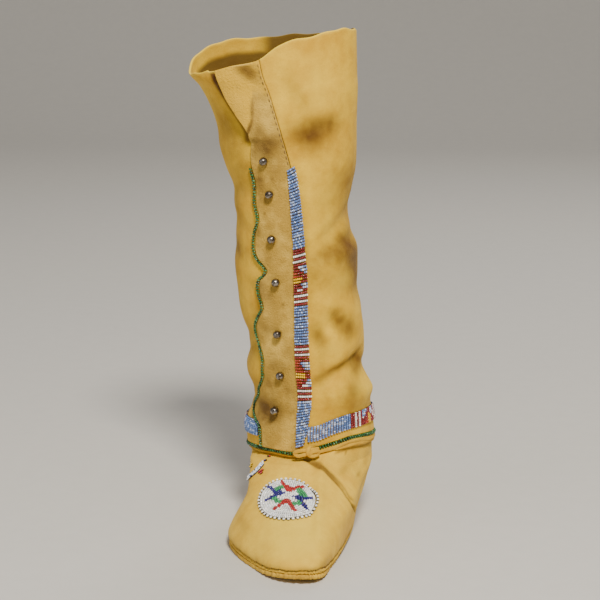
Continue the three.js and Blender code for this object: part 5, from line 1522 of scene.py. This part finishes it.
# Worn metal: bright with tarnish in soft patches, finely scratched.
def buttonMaterial():
    material, nodes, links, shader, vector = newMaterial("buttonMetal")
    dull = addNoise(nodes, links, vector, 420.0, 4.0)
    scratch = addNoise(nodes, links, vector, 2600.0, 3.0)
    tarnish = addRange(nodes, links, dull, 0.42, 0.62)
    colour = addMix(nodes, links, tarnish, buttons["bright"], buttons["tarnished"])
    links.new(colour, shader.inputs["Base Color"])
    shader.inputs["Metallic"].default_value = 1.0
    links.new(addRange(nodes, links, dull, 0.3, 0.7, 0.16, 0.36), shader.inputs["Roughness"])
    links.new(addBump(nodes, links, scratch, 0.0002, 0.3), shader.inputs["Normal"])
    return material


# Each button: its profile turned round the flap's normal, on a shank through the flap.
def makeButtons():
    material = buttonMaterial()
    profile = np.array(buttons["profile"]) * buttons["diameter"] / 2
    reach, rise = profile[:, 0, None, None], profile[:, 1, None, None]
    angle = np.linspace(0, 2 * np.pi, buttons["sides"], endpoint=False)[:, None]
    for number, (height, side) in enumerate(zip(buttons["height"], buttons["side"]), 1):
        z = boot["legHeight"] * height
        turn = turnAtSide(boot["legWidth"] * side, z)
        seat = legPoint(turn, z, flapOut(turn, z) + buttons["seat"])
        normal = legOutward(turn, z)
        right = np.cross(normal, [0.0, 0.0, 1.0])
        circle = right * np.cos(angle) + np.cross(right, normal) * np.sin(angle)
        points = (seat + normal * rise + circle * reach).reshape(-1, 3)
        quads = turnedOut(points, gridQuads(len(profile), len(angle), True))
        ball = makeMesh("button%d" % number, points, quads)
        setPiece(ball, material, "button_metal", "button_%d" % number)


makeButtons()
report("buttons")


# Stitches
thread = dict(
    colour=(0.16, 0.09, 0.035), radius=0.36,
    seam=dict(low=312.0, high=392.0, pitch=4.6, half=1.3, aside=0.004, out=0.1),
    sole=dict(count=210, half=0.9, sink=0.95),
)


# Running stitches: short rounded bars laid at an even pitch down the flap's seam, above the
# lane, and slanting along the line where the sole is sewn on.
def makeStitches():
    seam, sole = thread["seam"], thread["sole"]
    z = np.arange(seam["low"], seam["high"], seam["pitch"])
    turn = seamTurn(z) - seam["aside"]
    seamAxis = legPoint(seamTurn(z + 1), z + 1, 0) - legPoint(seamTurn(z - 1), z - 1, 0)
    around = np.linspace(0, 1, sole["count"], endpoint=False)
    level = sewnLevel(around)
    here = footPoint(around, level)
    soleAxis = footPoint(around, level + 0.02) - here + 0.3 * (footPoint(around + 0.004, level) - here)
    centres = np.concatenate([legPoint(turn, z, frontOut(turn, z) + seam["out"]),
                              footOut(around, level, np.full_like(around, -sole["sink"]))])
    outs = np.concatenate([legOutward(turn, z), surfaceNormal(footPoint, around, level)])
    half = np.concatenate([np.full(len(z), seam["half"]), np.full(len(around), sole["half"])])
    axes = np.concatenate([seamAxis, soleAxis])
    colours = np.tile(thread["colour"], (len(centres), 1))
    stitches = beadMesh("stitches", centres, axes, outs, thread["radius"], half, colours, sides=6)
    setPiece(stitches, threadMaterial, "foot_hide")


threadMaterial = beadMaterial("threadSinew", 0.6, 0.0)
makeStitches()
report("stitches")


# Floor and light
stageLook = dict(
    floor=(0.62, 0.6, 0.57), front=-6.0, back=2.4, sweep=1.2, top=5.0, half=5.0,
    aim=(0.0, 0.03, 0.2), world=0.26, worldColour=(1.0, 0.97, 0.92, 1),
    # each light's place, size, power and colour
    lights=dict(
        key=((0.45, -1.7, 2.2), 0.6, 100.0, (1.0, 0.95, 0.84)),
        fill=((-1.7, -1.2, 1.0), 1.4, 5.0, (0.96, 0.97, 1.0)),
        rim=((0.5, 1.6, 1.7), 1.0, 12.0, (1.0, 0.98, 0.95)),
    ),
)


# Floor and backdrop as one swept sheet: flat, then a quarter circle up to a wall.
def makeStage():
    back, sweep, half = stageLook["back"], stageLook["sweep"], stageLook["half"]
    angle = np.linspace(0, np.pi / 2, 20)
    y = np.concatenate([[stageLook["front"], back], back + sweep * np.sin(angle[1:]), [back + sweep]])
    z = np.concatenate([[0.0, 0.0], sweep - sweep * np.cos(angle[1:]), [stageLook["top"]]])
    x = np.array([-half, half])
    points = np.stack(np.broadcast_arrays(x[None, :], y[:, None], z[:, None]), -1).reshape(-1, 3) * 1000
    floor = makeMesh("floor", points, gridQuads(len(y), 2))
    material, nodes, links, shader, vector = newMaterial("floorPaper")
    low, high = [tuple(tone * share for tone in stageLook["floor"]) + (1,) for share in (0.96, 1.03)]
    grain = addNoise(nodes, links, vector, 60.0, 3.0)
    links.new(addMix(nodes, links, grain, low, high), shader.inputs["Base Color"])
    shader.inputs["Roughness"].default_value = 0.85
    floor.data.materials.append(material)


# Round area lights that look at the boot's middle, and a dim even sky.
def makeLight():
    aim = Vector(stageLook["aim"])
    for name, (place, size, power, colour) in stageLook["lights"].items():
        data = bpy.data.lights.new(name, "AREA")
        data.shape = "DISK"
        data.size, data.energy, data.color = size, power, colour
        light = bpy.data.objects.new(name, data)
        collection.objects.link(light)
        light.location = place
        light.rotation_euler = (aim - Vector(place)).to_track_quat("-Z", "Y").to_euler()
    world = bpy.data.worlds.new("studio")
    bpy.context.scene.world = world
    world.use_nodes = True
    world.node_tree.nodes["Background"].inputs["Color"].default_value = stageLook["worldColour"]
    world.node_tree.nodes["Background"].inputs["Strength"].default_value = stageLook["world"]


makeStage()
makeLight()
report("stage")
